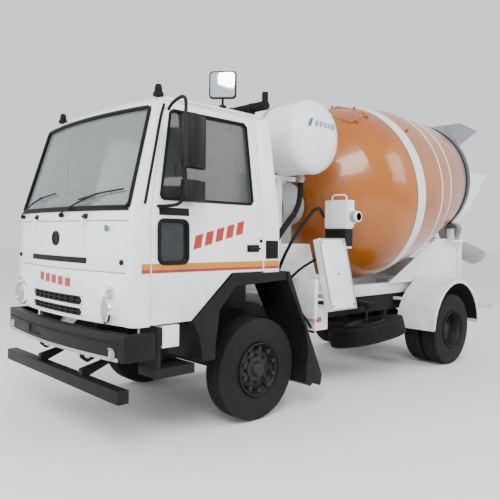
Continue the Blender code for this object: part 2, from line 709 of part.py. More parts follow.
def hopper():
    # A loading funnel behind the drum's rear edge, its spout in the mouth.
    def ring(x, y0, y1, z0, z1):
        return [(-x, y0, z0), (x, y0, z0), (x, y1, z1), (-x, y1, z1)]

    outer = loft([ring(0.16, 4.80, 5.02, 2.86, 2.86), ring(0.20, 4.93, 5.22, 3.16, 3.16),
                  ring(0.50, 4.98, 5.62, 3.60, 3.56)])
    t = 0.014
    inner = loft([ring(0.16 - t, 4.80 + t, 5.02 - t, 2.80, 2.80), ring(0.20 - t, 4.93 + t, 5.22 - t, 3.165, 3.165),
                  ring(0.50 - t, 4.98 + t, 5.62 - t, 3.63, 3.63)])
    funnel = cut(outer, inner)
    legs = []
    for side in (-1, 1):
        foot = FUNNEL_TOP + SEAT_GAP
        outline = [(0.45, foot), (0.53, foot), (0.50, 2.98), (0.38, 3.37), (0.27, 3.31)]
        legs.append(prism([(side * x, z) for x, z in outline], "Y", 5.115, 5.145))
    return finish(union(funnel, *legs), "hopper", GREY)


def discharge_funnel():
    def ring(x0, x1, y0, y1, z):
        return [(-x0, y0, z), (x0, y0, z), (x1, y1, z), (-x1, y1, z)]

    t = 0.012
    outlet, waist = 1.90, 2.25
    outer = loft([ring(0.16, 0.16, 5.02, 5.36, outlet), ring(0.38, 0.38, 5.02, 5.66, waist),
                  ring(0.48, 0.48, 5.10, 6.05, FUNNEL_TOP)])
    mouth = (0.16 - t, 0.16 - t, 4.80, 5.36 - t)
    rim = (0.48 - t, 0.48 - t, 4.80, 6.05 - t)
    inner = loft([ring(*mouth, outlet - 0.05), ring(*mouth, outlet),
                  ring(0.38 - t, 0.38 - t, 4.80, 5.66 - t, waist),
                  ring(*rim, FUNNEL_TOP), ring(*rim, FUNNEL_TOP + 0.05)])
    lumps = [cut(outer, inner)]
    back, arm_rear = 4.965 + SEAT_GAP, 5.035  # the rear face clears the chute's swing
    for side in (-1, 1):
        arm = [(0.56, 1.30), (0.56, 1.95), (0.30, 2.065), (0.245, 2.05), (0.152, 1.91), (0.40, 1.30)]
        lumps.append(prism([(side * x, z) for x, z in arm], "Y", back, arm_rear))
    return finish(union(*lumps), "discharge_funnel", WHITE)


def ladder():
    lumps = []
    for x in (-0.80, -0.60):
        lumps.append(box((x, 5.10, 1.25), (x + 0.03, 5.14, 3.05)))
    for i in range(6):
        z = 1.30 + 0.30 * i
        lumps.append(box((-0.79, 5.105, z), (-0.58, 5.135, z + 0.03)))
    for z in (1.45, 1.90):
        lumps.append(box((-0.79, 5.02, z), (-0.56 - SEAT_GAP, 5.13, z + 0.04)))
    return finish(union(*lumps), "ladder", WHITE)


# ---------------------------------------------------------------- chute
CHUTE_FRAME = Matrix.Translation((0, CHUTE_PIVOT_Y, CHUTE_PIVOT_Z)) @ Matrix.Rotation(CHUTE_YAW, 4, "Z")
LIFT_Y = 0.16  # the lift pin, along the chute's own yaw, behind the post


def chute_arm():
    base = turned([(-0.0997, 0), (-0.0997, 0.085), (-0.03, 0.085), (-0.03, 0)], 16, closed=False)
    moved(base, Matrix.Rotation(math.radians(-90), 4, "Y"))
    cheeks = [box((-0.11, -0.06, -0.09), (0.11, LIFT_Y + 0.05, -0.04))]
    for side in (-1, 1):
        near, far = sorted((side * 0.075, side * 0.11))
        cheeks.append(box((near, LIFT_Y - 0.05, -0.06), (far, LIFT_Y + 0.05, 0.06)))
    arm = union(base, *cheeks)
    bore = rod((-0.2, LIFT_Y, 0.02), (0.2, LIFT_Y, 0.02), bore_for(LIFT_PIN))
    cut(arm, bore)
    moved(arm, CHUTE_FRAME)
    return finish(arm, "chute_arm", WHITE, CHUTE_SWING)


def chute():
    steps = 12
    outer = arc((0, 0), CHUTE_RADIUS, 180, 360, steps)
    inner = arc((0, 0), CHUTE_RADIUS - CHUTE_SHEET, 360, 180, steps)
    trough = prism([(x, z) for x, z in outer + inner], "Y", -0.14, CHUTE_LENGTH - 0.14)
    moved(trough, Matrix.Translation((0, 0, CHUTE_RADIUS + 0.045)))
    lug = box((-0.068, -0.045, -0.02), (0.068, 0.045, 0.06))
    pin = rod((-0.12, 0, 0.0), (0.12, 0, 0.0), LIFT_PIN)
    body = union(trough, lug, pin)
    pitch = Matrix.Translation((0, LIFT_Y, 0.02)) @ Matrix.Rotation(-CHUTE_PITCH, 4, "X")
    moved(body, CHUTE_FRAME @ pitch)
    return finish(body, "chute", GREY, CHUTE_LIFT)


# ---------------------------------------------------------------- cab
# Sections of the cab: height, half width, front corner, bow of the front, rear wall.
SECTIONS = [
    (CAB_BOTTOM, CAB_HALF_WIDTH, -1.42, FRONT_BOW, CAB_REAR),
    (1.44, CAB_HALF_WIDTH, -1.42, FRONT_BOW, CAB_REAR),
    (WAIST, CAB_HALF_WIDTH - 0.01, -1.39, FRONT_BOW, CAB_REAR),
    (ROOF_HEIGHT - 0.12, CAB_HALF_WIDTH - 0.115, -1.15, FRONT_BOW - 0.025, CAB_REAR - 0.05),
    (ROOF_HEIGHT - 0.04, CAB_HALF_WIDTH - 0.15, -1.06, FRONT_BOW - 0.035, CAB_REAR - 0.07),
    (ROOF_HEIGHT, CAB_HALF_WIDTH - 0.24, -0.94, FRONT_BOW - 0.045, CAB_REAR - 0.14),
]


def section_at(z):
    low, high = SECTIONS[0], SECTIONS[1]
    for a, b in zip(SECTIONS, SECTIONS[1:]):
        if z >= a[0]:
            low, high = a, b
    t = (z - low[0]) / (high[0] - low[0])
    return [p + (q - p) * t for p, q in zip(low, high)]


def cab_loop(z, inset):
    # The plan outline at one height, as if the skin were thinner by the inset.
    measured = min(z + inset, ROOF_HEIGHT) if z > SECTIONS[3][0] - 0.1 else z
    _, half, corner, bow, rear = section_at(max(measured, CAB_BOTTOM))
    half, corner, rear = half - inset, corner + inset, rear - inset
    front = []
    for i in range(-6, 7):
        x = (half - 0.05) * i / 6
        front.append((x, corner - bow * (1 - (x / half) ** 2), z))
    side = [(half - 0.016, corner + 0.012, z), (half, corner + 0.055, z), (half, rear - 0.03, z),
            (half - 0.03, rear, z)]
    return front + side + [(-x, y, level) for x, y, level in reversed(side)]


def cab_solid(inset, bottom, top=None):
    top = ROOF_HEIGHT - inset if top is None else top
    heights = [bottom] + [z - (inset if z > WAIST + 0.1 else 0) for z in [s[0] for s in SECTIONS[1:-1]]] + [top]
    heights = [z for z in heights if bottom <= z <= top]
    return loft([cab_loop(z, inset) for z in sorted(set(heights))])


def wheel_void(low, step):
    # The space over the engine and the wheels, under the raised rear of the floor.
    return prism([(-0.87 + step * 0.3, low), (-0.87 + step * 0.3, CAB_BOTTOM + step), (-0.43 + step * 0.4,
                  ARCH_TOP + step), (CAB_REAR + 0.2, ARCH_TOP + step), (CAB_REAR + 0.2, low)], "X", -1.3, 1.3)


def door_outline(gap, slant, drop):
    front, rear = DOOR_FRONT - gap, DOOR_REAR + gap + slant
    low, arch = CAB_BOTTOM + 0.01 - drop, ARCH_TOP + 0.013 - drop
    return [(front, low), (front, 1.90), (-1.07 - gap, 2.83 + gap), (rear, 2.83 + gap), (rear, arch),
            (-0.435, arch), (-0.875, low)]


def door_zone(gap, drop=0.0):
    inner_x, outer_x = 0.80 - gap, 1.30
    loops = []
    for x in (inner_x, outer_x):
        slant = DOOR_SLANT * (x - CAB_HALF_WIDTH)
        loops.append([(x, y, z) for y, z in door_outline(gap, slant, drop)])
    return loft(loops)


DOOR_WINDOW = [(-1.18, 2.03), (-0.17, 2.03), (-0.19, 2.76), (-1.03, 2.76)]


def screen_outline(by):
    return [(-1.0 + by, WAIST + 0.02 + by), (1.0 - by, WAIST + 0.02 + by), (0.925 - by, ROOF_HEIGHT - 0.13 - by),
            (-0.925 + by, ROOF_HEIGHT - 0.13 - by)]


def cab_shell():
    shell = cut(cab_solid(0, CAB_BOTTOM), wheel_void(0.5, 0.0))
    room = cut(cab_solid(CAB_WALL, CAB_BOTTOM + CAB_WALL), wheel_void(0.5, CAB_WALL))
    front_wall = prism([(-1.7, 0.9), (-1.30, 0.9), (-1.30, WAIST - 0.02), (-1.7, WAIST - 0.02)], "X", -1.3, 1.3)
    shell = cut(shell, cut(room, front_wall))
    nose = box((-PANEL_HALF_WIDTH - SEAT_GAP, -1.8, 0.9), (PANEL_HALF_WIDTH + SEAT_GAP, -1.36, FLAP_TOP + 0.0))
    cut(shell, nose, prism(screen_outline(0), "Y", -1.8, -0.9))
    for side in (1, -1):
        opening = cut(door_zone(PANEL_GAP, 0.06), cab_solid(CAB_WALL + 0.008, CAB_BOTTOM - 0.2))
        cut(shell, opening if side > 0 else flipped(opening))
    cut(shell, box((-0.55, -0.1, 2.02), (0.55, 0.5, 2.58)))
    arms = []
    for side in (-1, 1):  # arms down to the tilt pivot
        near, far = sorted((side * 0.285, side * (rail_in - 0.008)))
        arms.append(prism([(-1.475, 0.70), (-1.45, 0.69), (-1.42, 0.70), (-1.03, CAB_BOTTOM + 0.02), (-1.20,
                          CAB_BOTTOM + 0.02), (-1.475, 0.74)], "X", near, far))
        arms.append(rod((side * 0.33, TILT_PIVOT_Y, TILT_PIVOT_Z), (side * 0.45, TILT_PIVOT_Y, TILT_PIVOT_Z),
                        TILT_PIN))
    return finish(union(shell, *arms), "cab_shell", WHITE, CAB_PIVOT)


def windscreen():
    pane = cut(cab_solid(0.008, WAIST - 0.2), cab_solid(0.008 + SCREEN_SHEET, WAIST - 0.3))
    return finish(common(pane, prism(screen_outline(SEAT_GAP), "Y", -1.8, -0.9)), "windscreen", GLASS, CAB_PIVOT)


def nose_panel(low, high, half):
    skin = cut(cab_solid(0, CAB_BOTTOM), cab_solid(FRONT_SKIN, CAB_BOTTOM - 0.1))
    return common(skin, box((-half, -1.8, low), (half, -1.36, high)))


def front_panel():
    panel = nose_panel(CAB_BOTTOM + 0.002, FLAP_BOTTOM - PANEL_GAP, PANEL_HALF_WIDTH)
    for low, high in ((1.15, 1.23), (1.06, 1.13)):
        cut(panel, box((-0.47, -1.8, low), (0.47, -1.4, high)))
    lamps = [rod((side * 0.80, -1.505, 1.15), (side * 0.80, -1.44, 1.15), 0.10, 16) for side in (-1, 1)]
    turn_lamps = [rod((side * 0.83, -1.50, 1.29), (side * 0.83, -1.45, 1.29), 0.04, 12) for side in (-1, 1)]
    return finish(union(panel, *lamps, *turn_lamps), "front_panel", WHITE, CAB_PIVOT)


def front_flap():
    panel = nose_panel(FLAP_BOTTOM, FLAP_TOP - PANEL_GAP, PANEL_HALF_WIDTH - PANEL_GAP)
    hinges = [box((x - 0.02, -1.535, FLAP_TOP - 0.03), (x + 0.02, -1.48, FLAP_TOP - SEAT_GAP)) for x in (-0.47, 0.47)]
    return finish(union(panel, *hinges), "front_flap", WHITE, FLAP_HINGE)


def door(side, name, carrier):
    skin = cut(cab_solid(0, CAB_BOTTOM), cab_solid(CAB_WALL, CAB_BOTTOM - 0.1))
    leaf = common(skin, door_zone(0))
    low_window = [(-1.20, 1.56), (-1.16, 1.52), (-0.96, 1.52), (-0.92, 1.56), (-0.92, 1.82), (-0.96, 1.86),
                  (-1.16, 1.86), (-1.20, 1.82)]
    cut(leaf, prism(DOOR_WINDOW, "X", 0.5, 1.5), prism(low_window, "X", 0.5, 1.5))
    hinge = (CAB_HALF_WIDTH, DOOR_FRONT)
    pins = [rod((*hinge, z), (*hinge, z + 0.06), PANEL_GAP - SEAT_GAP) for z in (1.30, 1.70)]
    leaf = union(leaf, *pins)
    return finish(leaf if side > 0 else flipped(leaf), name, WHITE, carrier)


def door_mirror():
    x = MIRROR_OUTER - 0.05
    lumps = [
        pipe([(0.95, -1.04, 2.74), (1.06, -1.06, 2.80), (x - 0.03, -1.06, 2.83), (x, -1.05, 2.79), (x, -1.05, 2.70)],
             MIRROR_TUBE),
        pipe([(x, -1.05, 2.72), (x, -1.05, 2.40), (x, -1.05, 2.10)], MIRROR_TUBE, between=1),
        pipe([(x, -1.05, 2.12), (x - 0.01, -1.08, 2.00), (1.15, -1.17, 1.97), (1.05, -1.22, 1.97)], MIRROR_TUBE),
        prism(mirror_plan(x), "Z", 2.28, 2.70),
        prism(mirror_plan(x), "Z", 2.01, 2.18),
    ]
    mirror = union(*lumps)
    cut(mirror, cab_solid(-SEAT_GAP, CAB_BOTTOM - 0.1, ROOF_HEIGHT + SEAT_GAP))
    return finish(mirror, "mirror_left", BLACK, DOOR_LEFT)


def mirror_plan(x):
    return [(x + 0.05, -1.06), (x + 0.05, -0.98), (x - 0.04, -0.81), (x - 0.09, -0.83), (x - 0.04, -1.06)]


def seat(x0, x1, name):
    floor = ARCH_TOP + CAB_WALL + SEAT_GAP
    lumps = [
        box((x0 + 0.04, -0.40, floor), (x1 - 0.04, 0.04, floor + 0.22)),
        box((x0, -0.46, floor + 0.20), (x1, 0.06, floor + 0.34)),
        prism([(-0.06, floor + 0.30), (0.06, floor + 0.30), (0.10, floor + 0.86), (0.01, floor + 0.90)], "X",
              x0 + 0.01, x1 - 0.01),
    ]
    return finish(union(*lumps), name, FABRIC, CAB_PIVOT)


def dashboard():
    body = prism([(-1.2997, 1.66), (-1.16, 1.66), (-1.06, 1.84), (-1.06, 1.95), (-1.16, 1.99), (-1.2997, 1.90)], "X",
                 -0.96, 0.96)
    column = rod(COLUMN_TOP - WHEEL_AXIS * 0.40, COLUMN_TOP - WHEEL_AXIS * (0.06 + SEAT_GAP), 0.035)
    pillar = box((-0.62, -1.2997, CAB_BOTTOM + CAB_WALL + SEAT_GAP), (-0.48, -1.18, 1.70))
    return finish(union(body, column, pillar), "dashboard", BLACK, CAB_PIVOT)


WHEEL_AXIS = Vector((0, 0.50, 0.866)).normalized()
COLUMN_TOP = Vector((-0.55, -0.93, 2.06))


def steering_wheel():
    ring = turned(arc((0, 0.21), 0.012, 0, 300, 5), 20)
    lumps = [ring, rod((-0.06, 0, 0), (0.0, 0, 0), 0.03)]
    for i in range(4):
        turn = math.pi * (0.25 + i * 0.5)
        lumps.append(rod((-0.02, 0.0, 0.0), (0, 0.205 * math.cos(turn), 0.205 * math.sin(turn)), 0.008, 6))
    wheel = union(*lumps)
    turn = Vector((1, 0, 0)).rotation_difference(WHEEL_AXIS).to_matrix().to_4x4()
    moved(wheel, Matrix.Translation(COLUMN_TOP) @ turn)
    return finish(wheel, "steering_wheel", BLACK, WHEEL_HUB)


def roof_mirror():
    foot = (0.86, -0.36)
    lumps = [rod((*foot, ROOF_HEIGHT - 0.02), (*foot, ROOF_HEIGHT + 0.12), 0.012)]
    head = box((-0.125, -0.015, -0.125), (0.125, 0.015, 0.125))
    moved(head, Matrix.Translation((*foot, ROOF_HEIGHT + 0.20)) @ Matrix.Rotation(math.radians(40), 4, "Z"))
    mirror = union(head, *lumps)
    cut(mirror, cab_solid(-SEAT_GAP, CAB_BOTTOM - 0.1, ROOF_HEIGHT + SEAT_GAP))
    return finish(mirror, "roof_mirror", BLACK, CAB_PIVOT)


def air_intake():
    lumps = [
        rod((0.40, 0.08, ROOF_HEIGHT + 0.075), (0.99, 0.08, ROOF_HEIGHT + 0.075), 0.045, 14),
        rod((0.97, 0.08, ROOF_HEIGHT + 0.05), (0.99, 0.08, ROOF_HEIGHT + 0.20), 0.028, 10),
        box((0.45, 0.05, ROOF_HEIGHT - 0.06), (0.50, 0.11, ROOF_HEIGHT + 0.05)),
        box((0.76, 0.05, ROOF_HEIGHT - 0.10), (0.81, 0.11, ROOF_HEIGHT + 0.05)),
    ]
    intake = union(*lumps)
    cut(intake, cab_solid(-SEAT_GAP, CAB_BOTTOM - 0.1, ROOF_HEIGHT + SEAT_GAP))
    return finish(intake, "air_intake", BLACK, CAB_PIVOT)


# ---------------------------------------------------------------- wheels and steering
def knuckle(side, name, carrier):
    fork = prism([(0.735, 0.384), (0.862, 0.384), (0.862, 0.597), (0.735, 0.597), (0.735, 0.55), (0.836, 0.55),
                  (0.836, 0.43), (0.735, 0.43)], "Y", -0.038, 0.038)
    tip = FRONT_TYRE_X + 0.06 - SEAT_GAP
    spindle = turned([(0.857, 0), (0.857, 0.185), (0.868, 0.185), (0.868, SPINDLE_RADIUS), (tip, SPINDLE_RADIUS),
                      (tip, 0)], 20, closed=False)
    moved(spindle, Matrix.Translation((0, 0, AXLE_Z)))
    arm = prism([(0.745, 0.01), (0.83, 0.01), (0.80, 0.20), (0.765, 0.20)], "Z", 0.392, 0.42)
    body = union(fork, spindle, arm)
    return finish(body if side > 0 else flipped(body), name, CHASSIS, carrier)


def place_wheel(obj, side, x, y):
    turn = Matrix.Identity(4) if side > 0 else Matrix.Rotation(math.pi, 4, "Z")
    return moved(obj, Matrix.Translation((side * x, y, AXLE_Z)) @ turn)


def front_wheel(side, label, carrier):
    rim_in = RIM_RADIUS - SEAT_GAP
    bore = bore_for(SPINDLE_RADIUS, 16)
    rim = turned([(0.11, 0), (0.105, 0.06), (0.08, 0.11), (0.05, 0.15), (0.045, rim_in - 0.02),
                  (0.10, rim_in - RIM_SHEET), (0.10, rim_in), (-0.10, rim_in), (-0.10, rim_in - RIM_SHEET),
                  (0.028, rim_in - 0.026), (0.03, 0.15), (-0.03, 0.10), (-0.03, bore), (0.06, bore), (0.06, 0)],
                 TYRE_STEPS, closed=False)
    place_wheel(rim, side, FRONT_TYRE_X, 0)
    finish(rim, f"wheel_front_{label}", RIM, carrier, smooth=30)
    tyre = place_wheel(turned(tyre_profile(), TYRE_STEPS), side, FRONT_TYRE_X, 0)
    finish(tyre, f"tyre_front_{label}", RUBBER, carrier, smooth=30)


def rear_wheels(side, label, carrier):
    rim_in = RIM_RADIUS - SEAT_GAP
    reach = TWIN_SPACING / 2 + 0.10
    rim = turned([(0.15, 0), (0.15, 0.07), (0.02, 0.09), (0.02, 0.19), (0.05, 0.228), (reach, rim_in - RIM_SHEET),
                  (reach, rim_in), (-reach, rim_in), (-reach, rim_in - RIM_SHEET), (-0.05, 0.228), (-0.04, 0.205),
                  (-0.20, 0.205), (-0.20, 0.19), (-0.03, 0.18), (-0.03, 0.08), (-0.27 + SEAT_GAP, 0.08),
                  (-0.27 + SEAT_GAP, 0)], TYRE_STEPS, closed=False)
    place_wheel(rim, side, TWIN_X, WHEELBASE)
    finish(rim, f"wheel_rear_{label}", RIM, carrier, smooth=30)
    for place, offset in (("outer", TWIN_SPACING / 2), ("inner", -TWIN_SPACING / 2)):
        tyre = place_wheel(turned(tyre_profile(offset), TYRE_STEPS), side, TWIN_X, WHEELBASE)
        finish(tyre, f"tyre_rear_{label}_{place}", RUBBER, carrier, smooth=30)


# ---------------------------------------------------------------- build
CAB_PIVOT = joint_empty("cab_pivot", Vector((0, TILT_PIVOT_Y, TILT_PIVOT_Z)))
DOOR_LEFT = joint_empty("door_left_hinge", Vector((CAB_HALF_WIDTH, DOOR_FRONT, 1.5)))
DOOR_RIGHT = joint_empty("door_right_hinge", Vector((-CAB_HALF_WIDTH, DOOR_FRONT, 1.5)))
FLAP_HINGE = joint_empty("front_flap_hinge", Vector((0, -1.53, FLAP_TOP - 0.002)))
WHEEL_HUB = joint_empty("steering_wheel_hub", COLUMN_TOP)
DRUM_PIVOT = joint_empty("drum_pivot", on_drum_axis(DRUM_FRONT))
CHUTE_SWING = joint_empty("chute_swing", Vector((0, CHUTE_PIVOT_Y, CHUTE_PIVOT_Z)))
CHUTE_LIFT = joint_empty("chute_lift", CHUTE_FRAME @ Vector((0, LIFT_Y, 0.02)))

for make in (chassis_frame, mixer_subframe, front_bumper, underrun_bar, engine_block, front_axle, rear_axle,
             fuel_tank, silencer, battery_box, spare_wheel, rear_bar, drum, drum_gearbox, front_pedestal, water_tank,
             control_box, extension_chute, rear_pedestal, hopper, discharge_funnel, ladder, chute_arm, chute,
             cab_shell, windscreen, front_panel, front_flap, door_mirror, dashboard, steering_wheel, roof_mirror,
             air_intake):
    make()

door(1, "door_left", DOOR_LEFT)
door(-1, "door_right", DOOR_RIGHT)
seat(-0.82, -0.30, "driver_seat")
seat(-0.06, 0.88, "passenger_seat")

for side, label in ((1, "left"), (-1, "right")):
    entry_step(side, f"entry_step_{label}")
    front_mudguard(side, f"front_mudguard_{label}")
    rear_mudguard(side, f"rear_mudguard_{label}")
    wheel_arch(side, f"wheel_arch_{label}")
    steer = joint_empty(f"steer_{label}", Vector((side * KINGPIN_X, 0, AXLE_Z)))
    knuckle(side, f"knuckle_{label}", steer)
    front_wheel(side, label, joint_empty(f"front_hub_{label}", Vector((side * FRONT_TYRE_X, 0, AXLE_Z))))
    rear_wheels(side, label, joint_empty(f"rear_hub_{label}", Vector((side * TWIN_X, WHEELBASE, AXLE_Z))))
    turning = joint_empty(f"roller_{label}_axle", roller_place(side))
    roller(side, f"drum_roller_{label}", turning)
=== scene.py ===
import math

import bpy
from mathutils import Matrix, Vector


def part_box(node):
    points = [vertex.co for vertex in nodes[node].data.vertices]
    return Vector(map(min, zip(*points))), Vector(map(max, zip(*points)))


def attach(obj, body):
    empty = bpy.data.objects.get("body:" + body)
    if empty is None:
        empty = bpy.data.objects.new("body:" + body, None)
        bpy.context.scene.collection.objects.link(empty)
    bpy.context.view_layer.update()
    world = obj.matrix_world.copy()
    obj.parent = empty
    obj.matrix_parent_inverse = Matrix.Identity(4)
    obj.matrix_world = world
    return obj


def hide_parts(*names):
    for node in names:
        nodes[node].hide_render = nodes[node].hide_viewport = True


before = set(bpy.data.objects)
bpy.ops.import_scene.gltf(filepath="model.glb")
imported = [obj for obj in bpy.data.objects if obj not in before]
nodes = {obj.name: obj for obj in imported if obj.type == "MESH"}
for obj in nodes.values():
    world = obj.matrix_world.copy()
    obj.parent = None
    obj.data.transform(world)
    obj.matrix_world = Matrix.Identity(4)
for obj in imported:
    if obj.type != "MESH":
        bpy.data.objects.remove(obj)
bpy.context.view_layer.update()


def boxOf(node):
    low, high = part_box(node)
    return Vector(low), Vector(high)


# Everything below is measured from the front axle's middle, on the ground
leftLow, leftHigh = boxOf("wheel_front_left")
rightLow, rightHigh = boxOf("wheel_front_right")
home = Vector(((rightLow.x + leftHigh.x) / 2, (leftLow.y + leftHigh.y) / 2, 0))
axleZ = (leftLow.z + leftHigh.z) / 2
wheelBase = sum(v.y for v in boxOf("wheel_rear_left")) / 2 - home.y
drumTilt = math.radians(9.6)
drumBaseZ = 1.90
print("frame loaded, home at", tuple(round(v, 4) for v in home))

# ---- camera
view = {"place": (4.789, -3.763, 1.751), "heading": 46.13, "pitch": -1.476, "roll": 0.892, "lens": 40.88}


def aimCamera():
    heading, pitch, roll = (math.radians(view[k]) for k in ("heading", "pitch", "roll"))
    ahead = Vector((-math.sin(heading) * math.cos(pitch), math.cos(heading) * math.cos(pitch), math.sin(pitch)))
    level = Vector((math.cos(heading), math.sin(heading), 0))
    lift = level.cross(ahead)
    across = level * math.cos(roll) + lift * math.sin(roll)
    up = lift * math.cos(roll) - level * math.sin(roll)
    bpy.ops.object.camera_add()
    made = bpy.context.object
    turn = Matrix((across, up, -ahead)).transposed().to_4x4()
    made.matrix_world = Matrix.Translation(Vector(view["place"]) + home) @ turn
    made.data.lens = view["lens"]
    made.data.sensor_width = 36
    made.data.clip_end = 200
    bpy.context.scene.camera = made


aimCamera()

# ---- materials
finishes = {
    "whitePaint": {"colour": (0.88, 0.89, 0.90), "shade": (0.80, 0.82, 0.84), "dirt": (0.34, 0.30, 0.25), "rough": 0.28,
                   "amount": 0.24, "low": (0.4, 1.5), "lowAmount": 0.45, "grain": 0.04, "coat": 0.35},
    "orangePaint": {"colour": (0.40, 0.112, 0.0), "shade": (0.31, 0.078, 0.0), "dirt": (0.20, 0.085, 0.025),
                    "rough": 0.26, "amount": 0.35, "low": (1.0, 2.2), "lowAmount": 0.25, "grain": 0.05, "coat": 0.5},
    "blackPlastic": {"colour": (0.006, 0.006, 0.007), "shade": (0.011, 0.011, 0.012), "dirt": (0.030, 0.027, 0.024),
                     "rough": 0.42, "amount": 0.20, "low": (0.3, 1.1), "lowAmount": 0.25, "grain": 0.10, "coat": 0,
                     "shine": 0.14},
    "chassisPaint": {"colour": (0.010, 0.010, 0.011), "shade": (0.018, 0.017, 0.016), "dirt": (0.040, 0.032, 0.025),
                     "rough": 0.60, "amount": 0.40, "low": (0.3, 1.2), "lowAmount": 0.30, "grain": 0.15, "coat": 0,
                     "shine": 0.14},
    "greyPaint": {"colour": (0.33, 0.35, 0.37), "shade": (0.25, 0.26, 0.27), "dirt": (0.42, 0.40, 0.37), "rough": 0.5,
                  "amount": 0.65, "low": (1.2, 3.0), "lowAmount": 0.2, "grain": 0.20, "coat": 0},
    "wheelPaint": {"colour": (0.010, 0.010, 0.011), "shade": (0.017, 0.017, 0.017), "dirt": (0.045, 0.038, 0.032),
                   "rough": 0.5, "amount": 0.4, "low": (0.0, 0.9), "lowAmount": 0.25, "grain": 0.12, "coat": 0,
                   "shine": 0.3},
    "tyreRubber": {"colour": (0.008, 0.008, 0.009), "shade": (0.014, 0.014, 0.013), "dirt": (0.040, 0.035, 0.030),
                   "rough": 0.78, "amount": 0.25, "low": (0.0, 0.5), "lowAmount": 0.30, "grain": 0.25, "coat": 0,
                   "shine": 0.2},
    "sealRubber": {"colour": (0.005, 0.005, 0.006), "shade": (0.009, 0.009, 0.010), "dirt": (0.020, 0.018, 0.016),
                   "rough": 0.55, "amount": 0.2, "low": (0.4, 1.2), "lowAmount": 0.2, "grain": 0.10, "coat": 0,
                   "shine": 0.14},
    "bareSteel": {"colour": (0.42, 0.41, 0.39), "shade": (0.30, 0.27, 0.24), "dirt": (0.22, 0.13, 0.08), "rough": 0.38,
                  "metal": 0.9, "amount": 0.45, "low": (0.4, 1.2), "lowAmount": 0.2, "grain": 0.10, "coat": 0},
    "mortarGrey": {"colour": (0.36, 0.36, 0.35), "shade": (0.22, 0.22, 0.22), "dirt": (0.52, 0.51, 0.48), "rough": 0.8,
                   "amount": 0.8, "low": (1.0, 3.0), "lowAmount": 0.2, "grain": 0.6, "coat": 0},
    "yellowStripe": {"colour": (0.52, 0.20, 0.0), "shade": (0.46, 0.17, 0.0), "dirt": (0.35, 0.28, 0.2),
                     "rough": 0.35, "amount": 0.2, "low": (0.4, 1.5), "lowAmount": 0.2, "grain": 0.02, "coat": 0.2},
    "redStripe": {"colour": (0.40, 0.014, 0.002), "shade": (0.34, 0.011, 0.002), "dirt": (0.35, 0.2, 0.15),
                  "rough": 0.35, "amount": 0.2, "low": (0.4, 1.5), "lowAmount": 0.2, "grain": 0.02, "coat": 0.2},
    "seatCloth": {"colour": (0.055, 0.057, 0.065), "shade": (0.085, 0.085, 0.09), "dirt": (0.16, 0.14, 0.12),
                  "rough": 0.92, "amount": 0.25, "low": (1.0, 1.6), "lowAmount": 0.1, "grain": 0.5, "weave": 420,
                  "coat": 0},
    "chromeTrim": {"colour": (0.75, 0.76, 0.78), "shade": (0.68, 0.69, 0.70), "dirt": (0.3, 0.28, 0.25), "rough": 0.12,
                   "metal": 1.0, "amount": 0.15, "low": (0.4, 1.2), "lowAmount": 0.1, "grain": 0.02, "coat": 0},
}


